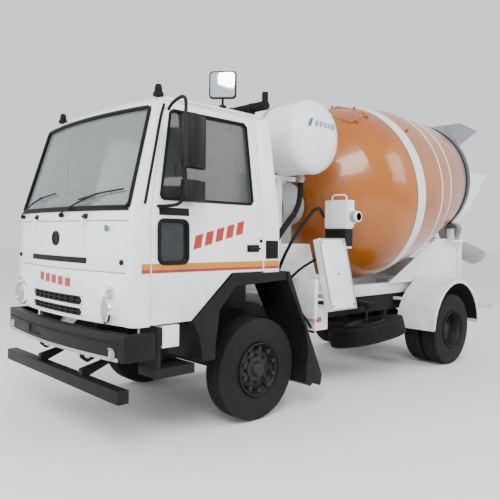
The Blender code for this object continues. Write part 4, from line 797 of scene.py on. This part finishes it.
doorWindow = [(-1.18, 2.03), (-0.17, 2.03), (-0.19, 2.76), (-1.03, 2.76)]
lowWindow = roundedBox((-1.20, 1.52), (-0.92, 1.86), 0.045)
for side, label in ((1, "left"), (-1, "right")):
    body = "door_" + label
    add(flankStrip(doorWindow, side, 0.005, -0.020), "doorGlass_" + label, body, "doorGlass", (), 0)
    seal = [band([flank(y, z, 0.002, side) for y, z in doorWindow], 0.013),
            band([flank(-0.915, z, 0.0, side) for z in (2.03, 2.30, 2.755)], 0.011, loop=False)]
    add(together(seal), "doorSeal_" + label, body, "sealRubber")
    add(flankStrip(lowWindow, side, 0.005, -0.020), "kerbGlass_" + label, body, "kerbGlass", (), 0)
    add(band([flank(y, z, 0.003, side) for y, z in lowWindow], 0.016), "kerbSeal_" + label, body, "sealRubber")
    plateName = bevel(flankStrip([(-1.20, 1.900), (-0.905, 1.900), (-0.905, 1.962), (-1.20, 1.962)], side, 0.004), 0.002)
    add(plateName, "namePlate_" + label, body, "blackPlastic")
    # Stripes round the cab's waist: door, pillar and rear corner
    runs = {"door": (body, -1.268, -0.050), "pillar": ("cab", -1.360, -1.284), "rear": ("cab", -0.030, 0.165)}
    for run, (carrier, start, stop) in runs.items():
        gold = flankStrip([(start, 1.472), (stop, 1.472), (stop, 1.518), (start, 1.518)], side, 0.0015, 0.0003)
        add(gold, "goldStripe_%s_%s" % (run, label), carrier, "yellowStripe", (), 0)
        red = flankStrip([(start, 1.444), (stop, 1.444), (stop, 1.470), (start, 1.470)], side, 0.0015, 0.0003)
        add(red, "redStripe_%s_%s" % (run, label), carrier, "redStripe", (), 0)
    # Slanted bars where a fleet's name would be
    bars = []
    for i in range(5):
        y = -0.86 + 0.118 * i
        low = 1.625 + 0.030 * i
        bars.append(flankStrip([(y, low), (y + 0.082, low + 0.020), (y + 0.104, low + 0.135), (y + 0.022, low + 0.115)],
                               side, 0.0015, 0.0004))
    add(together(bars), "fleetBars_" + label, body, "redStripe", (), 0)
    handle = [bevel(flankStrip([(-0.25, 1.60), (-0.10, 1.60), (-0.10, 1.665), (-0.25, 1.665)], side, 0.006), 0.004, 3),
              bar(flank(-0.235, 1.630, 0.004, side), flank(-0.235, 1.630, 0.030, side), 0.010, 12),
              bar(flank(-0.120, 1.630, 0.004, side), flank(-0.120, 1.630, 0.030, side), 0.010, 12),
              tube([flank(y, 1.632, 0.028, side) for y in (-0.245, -0.20, -0.15, -0.11)], 0.010),
              bar(flank(-0.075, 1.70, 0.0, side), flank(-0.075, 1.70, 0.010, side), 0.016, 16)]
    add(together(handle), "doorHandle_" + label, body, "blackPlastic")
    # Vent in the rear corner
    vent = [bevel(flankStrip([(-0.012, 1.535), (0.150, 1.535), (0.150, 1.705), (-0.012, 1.705)], side, 0.010), 0.005, 3)]
    for i in range(6):
        z = 1.555 + 0.026 * i
        vent.append(bevel(flankStrip([(0.002, z), (0.136, z), (0.136, z + 0.012), (0.002, z + 0.012)], side, 0.010,
                                     0.008), 0.002))
    add(together(vent), "cornerVent_" + label, "cab", "blackPlastic")
    # Black deflector up the front corner, and rain rail over the door
    deflector = tube([Vector((side * (sectionAt(z)[1] - 0.004), sectionAt(z)[2] + 0.052, z))
                      for z in (1.98, 2.2, 2.45, 2.7, 2.80)], 0.012)
    add(deflector, "cornerTrim_" + label, "cab", "sealRubber")
    rail = tube([Vector((side * 0.964, y, 2.862)) for y in (-0.93, -0.6, -0.2, 0.08)], 0.009)
    add(rail, "rainRail_" + label, "cab", "whitePaint")
    marker = [bar((side * 0.86, -1.06, 2.885), (side * 0.86, -1.06, 2.915), 0.045, 24, 0.004),
              bar((side * 0.86, -1.06, 2.910), (side * 0.86, -1.06, 2.985), 0.036, 24, 0.014, 0.026)]
    add(together(marker), "roofLamp_" + label, "cab", "sealRubber")

rearWindow = roundedBox((-0.56, 2.01), (0.56, 2.59), 0.05)
add(plate(rearWindow, "Y", 0.150, 0.155, 0), "rearGlass", "cab", "doorGlass", (), 0)
add(band([(x, 0.200 - 0.058 * (z - 1.93), z) for x, z in rearWindow], 0.014), "rearSeal", "cab", "sealRubber")

# ---- the cab's front
frontParts = {"lampX": 0.80, "lampZ": 1.15, "turnX": 0.83, "turnZ": 1.29}
for side, label in ((1, "left"), (-1, "right")):
    x, z = side * frontParts["lampX"], frontParts["lampZ"]
    bowl = lathe([(-0.012, 0.0), (-0.012, 0.108), (0.006, 0.110), (0.012, 0.104), (0.012, 0.094), (0.0, 0.090),
                  (-0.002, 0.0)], 48, closed=False)
    face = Matrix.Translation((x, -1.500, z)) @ Matrix.Rotation(math.radians(-90 - side * 12), 4, "Z")
    add(moved(bowl, face), "lampBowl_" + label, "cab", "chromeTrim")
    lens = lathe([(0.0, 0.0), (0.0, 0.091), (0.008, 0.088), (0.016, 0.066), (0.021, 0.036), (0.022, 0.0)], 48, closed=False)
    add(moved(lens, face), "lampLens_" + label, "cab", "clearLens")
    face = Matrix.Translation((side * frontParts["turnX"], -1.486, frontParts["turnZ"])) @ Matrix.Rotation(
        math.radians(-90 - side * 16), 4, "Z")
    cup = lathe([(-0.02, 0.0), (-0.02, 0.044), (0.004, 0.045), (0.006, 0.038), (-0.002, 0.036), (-0.002, 0.0)], 32,
                closed=False)
    add(moved(cup, face), "turnCup_" + label, "cab", "chromeTrim")
    lens = lathe([(-0.002, 0.0), (-0.002, 0.037), (0.010, 0.033), (0.016, 0.016), (0.017, 0.0)], 32, closed=False)
    add(moved(lens, face), "turnLens_" + label, "cab", "clearLens")
    lock = bar(nose(side * 0.955, 1.526, -0.002), nose(side * 0.955, 1.526, 0.014), 0.021, 20, 0.003)
    add(lock, "flapLock_" + label, "front_flap", "sealRubber")
    hinge = [bar(nose(side * 0.47 - 0.03, 1.886, 0.012), nose(side * 0.47 + 0.03, 1.886, 0.012), 0.012, 16),
             noseStrip(side * 0.47 - 0.026, side * 0.47 + 0.026, 1.866, 1.910, 0.010, 4, 1, 0.0)]
    add(together(hinge), "flapHinge_" + label, "cab", "blackPlastic")

grille = []
for low, high, count in ((1.148, 1.232, 3), (1.058, 1.132, 3)):
    back = noseStrip(-0.475, 0.475, low - 0.004, high + 0.004, 0.004, 24, 1, -0.026)
    grille.append(back)
    for i in range(count):
        z = low + (high - low) * (i + 0.5) / count
        grille.append(noseStrip(-0.472, 0.472, z - 0.004, z + 0.004, 0.018, 24, 1, -0.024))
    for i in range(9):
        x = -0.42 + 0.105 * i
        grille.append(noseStrip(x - 0.003, x + 0.003, low, high, 0.014, 1, 1, -0.024))
add(together(grille), "grilleMesh", "cab", "blackPlastic")
for low, high, name in ((1.148, 1.232, "upper"), (1.058, 1.132, "lower")):
    line = [nose(-0.472 + 0.944 * i / 10, low, 0.0) for i in range(11)] + [
        nose(0.472 - 0.944 * i / 10, high, 0.0) for i in range(11)]
    add(band(line, 0.006), "grilleFrame_" + name, "cab", "whitePaint")
add(noseStrip(-0.52, 0.52, 1.500, 1.548, 0.003, 24, 1, 0.0), "nameStrip", "front_flap", "sealRubber")
bars = [noseStrip(-0.30 + 0.125 * i, -0.30 + 0.125 * i + 0.085, 1.318 - 0.006 * i, 1.392 - 0.006 * i, 0.0015, 3, 1, 0.0004)
        for i in range(5)]
add(together(bars), "fleetBars_front", "cab", "redStripe")
ring = moved(lathe([(0.0, 0.052), (0.010, 0.052), (0.012, 0.058), (0.010, 0.064), (0.0, 0.066)], 48),
             Matrix.Translation(nose(0, 1.70, 0.002)) @ Matrix.Rotation(math.radians(-90), 4, "Z"))
disc = moved(lathe([(0.0, 0.0), (0.0, 0.050), (0.005, 0.048), (0.006, 0.0)], 48, closed=False),
             Matrix.Translation(nose(0, 1.70, 0.001)) @ Matrix.Rotation(math.radians(-90), 4, "Z"))
add(together([ring, disc]), "roundEmblem", "front_flap", "chassisPaint")
add(noseStrip(-0.99, 0.99, 1.930, 1.945, 0.012, 32, 1, 0.0), "scuttleStrip", "cab", "sealRubber")

wipers = {"left": (0.10, 0.62), "right": (-0.93, -0.40)}
for label, (pivot, tip) in wipers.items():
    start = nose(pivot, 1.900, 0.0)
    arm = [bar(start, start + Vector((0, -0.035, 0.0)), 0.020, 20, 0.004),
           tube([nose(pivot, 1.902, 0.038), nose(pivot + (tip - pivot) * 0.25, 1.955, 0.040),
                 nose(pivot + (tip - pivot) * 0.75, 2.040, 0.034), nose(tip - 0.02, 2.075, 0.026)], 0.007),
           band([nose(tip - 0.30, 2.030, 0.014), nose(tip, 2.078, 0.014), nose(tip + 0.26, 2.100, 0.014)], 0.007, loop=False)]
    add(together(arm), "wiper_" + label, "cab", "blackPlastic")
print("cab trimmed")

# ---- entry boxes, bumper face and side marks
def bumperAt(x, out=0.0):
    return -1.605 + 0.10 * (x / 1.10) ** 2 - out


for side, label in ((1, "left"), (-1, "right")):
    low, high = sorted((side * 0.72, side * 1.088))
    add(block((low, -1.150, 0.842), (high, -0.985, 1.022), 0.008, 3), "entryBox_" + label, "chassis", "whitePaint")
    fog = lathe([(-0.020, 0.0), (-0.020, 0.050), (0.008, 0.050), (0.010, 0.043), (0.002, 0.040), (0.006, 0.020),
                 (0.008, 0.0)], 40, closed=False)
    turn = Matrix.Translation((side * 0.94, bumperAt(0.94, 0.001), 0.824)) @ Matrix.Rotation(
        math.radians(-90 - side * 10), 4, "Z")
    add(moved(fog, turn), "fogLamp_" + label, "chassis", "clearLens")
    low, high = sorted((side * 1.100, side * 1.114))
    add(block((low, -0.715, 0.775), (high, -0.645, 0.830), 0.004), "sideMarker_" + label, "chassis", "amberLens")
add(block((0.915, 0.950, 0.835), (0.948, 1.015, 0.885), 0.004), "sideReflector", "chassis", "redLens")

bumperLines = {"lowerLip": (0.774, 0.802, "greyPaint"), "upperGroove": (0.905, 0.918, "sealRubber")}
for name, (low, high, material) in bumperLines.items():
    startFresh()
    bpy.ops.mesh.primitive_grid_add(x_subdivisions=32, y_subdivisions=1, size=1)
    sheet = bpy.context.object
    for corner in sheet.data.vertices:
        x = 2.06 * corner.co.x
        corner.co = (x, bumperAt(x), low + (high - low) * (corner.co.y + 0.5))
    step = sheet.modifiers.new("thick", "SOLIDIFY")
    step.thickness = 0.004
    step.offset = 1
    add(applyAll(sheet), name, "chassis", material)

badge = lathe([(0.0, 0.0), (0.0, 0.026), (0.003, 0.025), (0.004, 0.0)], 32, closed=False)
badge.data.transform(Matrix.Diagonal((1, 2.5, 1, 1)))
add(moved(badge, Matrix.Translation(nose(0.74, 1.79, 0.001)) @ Matrix.Rotation(math.radians(-98), 4, "Z")), "greenOval",
    "front_flap", "greenBadge")

# ---- roof mirror and air intake
mirrorAt = Matrix.Translation((0.86, -0.36, 3.11)) @ Matrix.Rotation(math.radians(40), 4, "Z")


def squareHead(half, radius, low, high, edge):
    outline = roundedBox((-half, -half), (half, half), radius, 5)
    return moved(plate(outline, "Y", low, high, edge), mirrorAt)


rim = [squareHead(0.125, 0.035, -0.014, 0.016, 0.006), bar((0.86, -0.36, 2.895), (0.86, -0.36, 3.02), 0.012, 16),
       bar((0.86, -0.36, 2.900), (0.86, -0.36, 2.925), 0.034, 20)]
add(together(rim), "roofMirrorHead", "cab", "blackPlastic", ("roof_mirror",))
add(squareHead(0.112, 0.028, -0.018, -0.013, 0.001), "roofMirrorGlass", "cab", "mirrorGlass")

ribs = [(0.40, 0.0), (0.40, 0.040)]
for i in range(28):
    x = 0.412 + 0.0205 * i
    ribs += [(x, 0.038), (x + 0.005, 0.045), (x + 0.010, 0.045), (x + 0.015, 0.038)]
ribs += [(0.99, 0.040), (0.99, 0.0)]
intake = [moved(lathe(ribs, 32, closed=False), Matrix.Translation((0, 0.08, 2.985))),
          bar((0.965, 0.08, 2.985), (0.965, 0.08, 3.11), 0.030, 24, 0.006)]
for x in (0.475, 0.785):
    intake.append(block((x - 0.022, 0.052, 2.80), (x + 0.022, 0.108, 2.965), 0.004))
    intake.append(moved(lathe([(x - 0.014, 0.044), (x - 0.014, 0.049), (x + 0.014, 0.049), (x + 0.014, 0.044)], 32),
                        Matrix.Translation((0, 0.08, 2.985))))
add(together(intake), "ribbedIntake", "cab", "sealRubber", ("air_intake",))

# ---- water tank
tank = {"y": 0.93, "z": 2.81, "radius": 0.39}
half = [(0.99, 0.0), (0.988, 0.10), (0.980, 0.18), (0.964, 0.25), (0.940, 0.305), (0.908, 0.350), (0.878, 0.376),
        (0.850, 0.388), (0.832, 0.390), (0.832, 0.394), (0.812, 0.394), (0.812, 0.390)]
tankProfile = half + [(0.29, 0.390), (0.29, 0.3935), (0.275, 0.3935), (0.275, 0.390)]
tankProfile += [(-a, r) for a, r in reversed(tankProfile)]
tankPlace = Matrix.Translation((0, tank["y"], tank["z"]))
shell = [moved(lathe(tankProfile, 96, closed=False), tankPlace),
         bar((-0.25, tank["y"], 3.10), (-0.25, tank["y"], 3.225), 0.070, 32, 0.008),
         bar((-0.25, tank["y"], 3.205), (-0.25, tank["y"], 3.228), 0.080, 32, 0.006)]
add(together(shell), "tankShell", "chassis", "whitePaint", ("water_tank",), 30)
outlet = [bar((0.60, 1.03, 2.50), (0.60, 1.03, 2.345), 0.040, 24, 0.004), bar((0.60, 1.03, 2.40), (0.60, 1.03, 2.37), 0.052, 24)]
add(together(outlet), "tankOutlet", "chassis", "bareSteel")
for x, name in ((0.42, "left"), (-0.42, "right")):
    strap = lathe([(x - 0.022, 0.391), (x - 0.022, 0.396), (x + 0.022, 0.396), (x + 0.022, 0.391)], 96)
    add(moved(strap, tankPlace), "tankStrap_" + name, "chassis", "greyPaint")
capMark = [((-0.235, 0.075), (-0.200, 0.075), (-0.165, 0.155), (-0.200, 0.155))]
for i in range(5):
    a = -0.130 + 0.068 * i
    capMark.append(((a, 0.085), (a + 0.045, 0.085), (a + 0.055, 0.140), (a + 0.010, 0.140)))
for i, corners in enumerate(capMark):
    mark = plate(corners, "X", 0.984, 0.9895, 0.0)
    add(moved(mark, tankPlace), "capMark_%d" % i, "chassis", "greenBadge" if i == 0 else "greyPaint")

# ---- hoses, housings and lines behind the cab
lines = {"thick": ([(0.60, 1.03, 2.36), (0.62, 1.00, 2.20), (0.72, 0.82, 2.02), (0.80, 0.62, 1.90), (0.80, 0.45, 1.72),
                    (0.72, 0.40, 1.52), (0.60, 0.42, 1.40)], 0.032),
         "middle": ([(0.72, 1.30, 1.98), (0.80, 1.10, 2.06), (0.84, 0.85, 1.92), (0.80, 0.62, 1.62), (0.70, 0.58, 1.38)], 0.017),
         "thin": ([(0.84, 1.47, 1.75), (0.88, 1.28, 1.62), (0.86, 1.05, 1.52), (0.78, 0.85, 1.40), (0.66, 0.80, 1.28)], 0.014),
         "lower": ([(0.78, 1.56, 1.64), (0.80, 1.58, 1.45), (0.72, 1.48, 1.28), (0.58, 1.36, 1.20)], 0.022),
         "low": ([(0.60, 0.72, 1.10), (0.78, 0.80, 0.98), (0.88, 0.90, 0.80), (0.80, 1.05, 0.70), (0.62, 1.10, 0.72)], 0.013)}
for name, (points, radius) in lines.items():
    add(tube(points, radius, sides=3), name + "Hose", "chassis", "sealRubber")
fitting = moved(lathe([(0.945, 0.0), (0.945, 0.064), (1.000, 0.064), (1.006, 0.056), (1.020, 0.056), (1.030, 0.046),
                       (1.030, 0.0)], 32, closed=False), Matrix.Translation((0, 1.54, 1.98)))
add(fitting, "coolerFilter", "chassis", "greyPaint")
cooler = [block((0.605, 1.466, 1.640), (0.906, 1.604, 1.845), 0.010, 3)]
for i in range(7):
    cooler.append(block((0.62, 1.458, 1.665 + 0.024 * i), (0.89, 1.468, 1.677 + 0.024 * i), 0.002))
add(together(cooler), "coolerCore", "chassis", "chassisPaint")
loop = tube([(0.66, 1.53, 2.165), (0.665, 1.53, 2.215), (0.76, 1.53, 2.232), (0.855, 1.53, 2.215), (0.86, 1.53, 2.165)], 0.010)
add(loop, "coolerHandle", "chassis", "whitePaint")
for name, y in (("front", 0.80), ("back", 1.06)):
    add(block((0.27, y - 0.02, 2.36), (0.33, y + 0.02, 2.50), 0.004), "tankFoot_" + name, "chassis", "whitePaint")

# Grey rim round the stowed chute section, and its bolts
lean = Matrix.Translation((1.10, 0.99, 0.965)) @ Matrix.Rotation(math.atan2(-0.19, 0.765), 4, "Y")
edge = band([(0.001, 0.006, 0.006), (0.001, 0.444, 0.006), (0.001, 0.444, 0.784), (0.001, 0.006, 0.784)], 0.009)
add(moved(edge, lean), "stowedChuteRim", "chassis", "greyPaint")
bolts = []
for y, z in ((0.04, 0.05), (0.41, 0.05), (0.04, 0.74), (0.41, 0.74), (0.225, 0.39)):
    bolts.append(bar((-0.002, y, z), (0.012, y, z), 0.012, 6))
add(moved(together(bolts), lean), "stowedChuteBolts", "chassis", "bareSteel")

# ---- black sheets under the rear guards, as painted shade
for side, label in ((1, "left"), (-1, "right")):
    centre = (wheelBase + 0.06, axleZ + 0.01)
    ring = []
    for i in range(25):
        turn = math.radians(6 + 168 * i / 24)
        ring.append((centre[0] + 0.6635 * math.cos(turn), centre[1] + 0.6635 * math.sin(turn)))
    for i in range(25):
        turn = math.radians(174 - 168 * i / 24)
        ring.append((centre[0] + 0.6600 * math.cos(turn), centre[1] + 0.6600 * math.sin(turn)))
    low, high = sorted((side * 0.57, side * 1.095))
    # Black sheet under the guard: painted shade where the guard's underside falls in shadow
    add(plate(ring, "X", low, high, 0), "guardPaintedShade_" + label, "chassis", "sealRubber")
    lamp = block((side * 0.90 - 0.11, 5.068, 0.69), (side * 0.90 + 0.11, 5.082, 0.76), 0.004)
    add(lamp, "rearLamp_" + label, "chassis", "redLens")

# ---- seats, dial hood and glove box
seats = {"driver": ("driver_seat", -0.82, -0.30, 1), "passenger": ("passenger_seat", -0.06, 0.88, 2)}
seatFloor = 1.4553
for label, (node, left, right, places) in seats.items():
    base = block((left + 0.05, -0.40, seatFloor), (right - 0.05, 0.02, seatFloor + 0.20), 0.012)
    add(base, label + "SeatBase", "cab", "blackPlastic", (node,))
    width = (right - left) / places
    for i in range(places):
        a, b = left + width * i + 0.006, left + width * (i + 1) - 0.006
        pad = block((a, -0.455, seatFloor + 0.205), (b, 0.045, seatFloor + 0.335), 0.045, 5)
        add(pad, "%sCushion_%d" % (label, i), "cab", "seatCloth")
        back = block((a, -0.055, 0), (b, 0.065, 0.57), 0.045, 5)
        moved(back, Matrix.Translation((0, 0, seatFloor + 0.335)) @ Matrix.Rotation(math.radians(-4), 4, "X"))
        add(back, "%sBackrest_%d" % (label, i), "cab", "seatCloth")
add(block((-0.76, -1.075, 1.93), (-0.34, -1.035, 2.03), 0.012, 3), "dialHood", "cab", "blackPlastic")
add(block((0.20, -1.052, 1.87), (0.70, -1.040, 1.94), 0.004), "gloveBox", "cab", "chassisPaint")

# ---- rolled rims on hopper and funnel
hopperRim = band([(-0.495, 4.985, 3.592), (0.495, 4.985, 3.592), (0.495, 5.612, 3.552), (-0.495, 5.612, 3.552)], 0.008)
add(hopperRim, "hopperRim", "chassis", "greyPaint")
funnelRim = band([(-0.474, 5.100, 2.852), (-0.474, 6.040, 2.852), (0.474, 6.040, 2.852), (0.474, 5.100, 2.852)], 0.008, loop=False)
add(funnelRim, "funnelRim", "chassis", "whitePaint")
print("fittings made")

# ---- light and floor
startFresh()
bpy.ops.mesh.primitive_plane_add(size=120, location=(0, 0, 0))
floor = bpy.context.object
floor.name = "floor"
floorPaint = bpy.data.materials.new("floorPaint")
floorPaint.use_nodes = True
floorPaint.node_tree.nodes["Principled BSDF"].inputs["Base Color"].default_value = (0.86, 0.86, 0.86, 1)
floorPaint.node_tree.nodes["Principled BSDF"].inputs["Roughness"].default_value = 0.9
floor.data.materials.append(floorPaint)
sky = bpy.data.worlds.new("sky")
bpy.context.scene.world = sky
sky.use_nodes = True
sky.node_tree.nodes["Background"].inputs["Color"].default_value = (0.93, 0.96, 1.0, 1)
sky.node_tree.nodes["Background"].inputs["Strength"].default_value = 1.15
lamps = {"key": ((7.0, -9.0, 9.0), 1050, 5.0), "side": ((10.0, 3.0, 7.0), 600, 6.0), "front": ((-4.0, -10.0, 4.0), 420, 6.0)}
for name, (place, power, size) in lamps.items():
    aim = Vector((0, 0, 1.4)) - Vector(place)
    bpy.ops.object.light_add(type="AREA", location=place, rotation=aim.to_track_quat("-Z", "Y").to_euler())
    lamp = bpy.context.object
    lamp.name = name + "Light"
    lamp.data.energy = power
    lamp.data.size = size
print("lit")
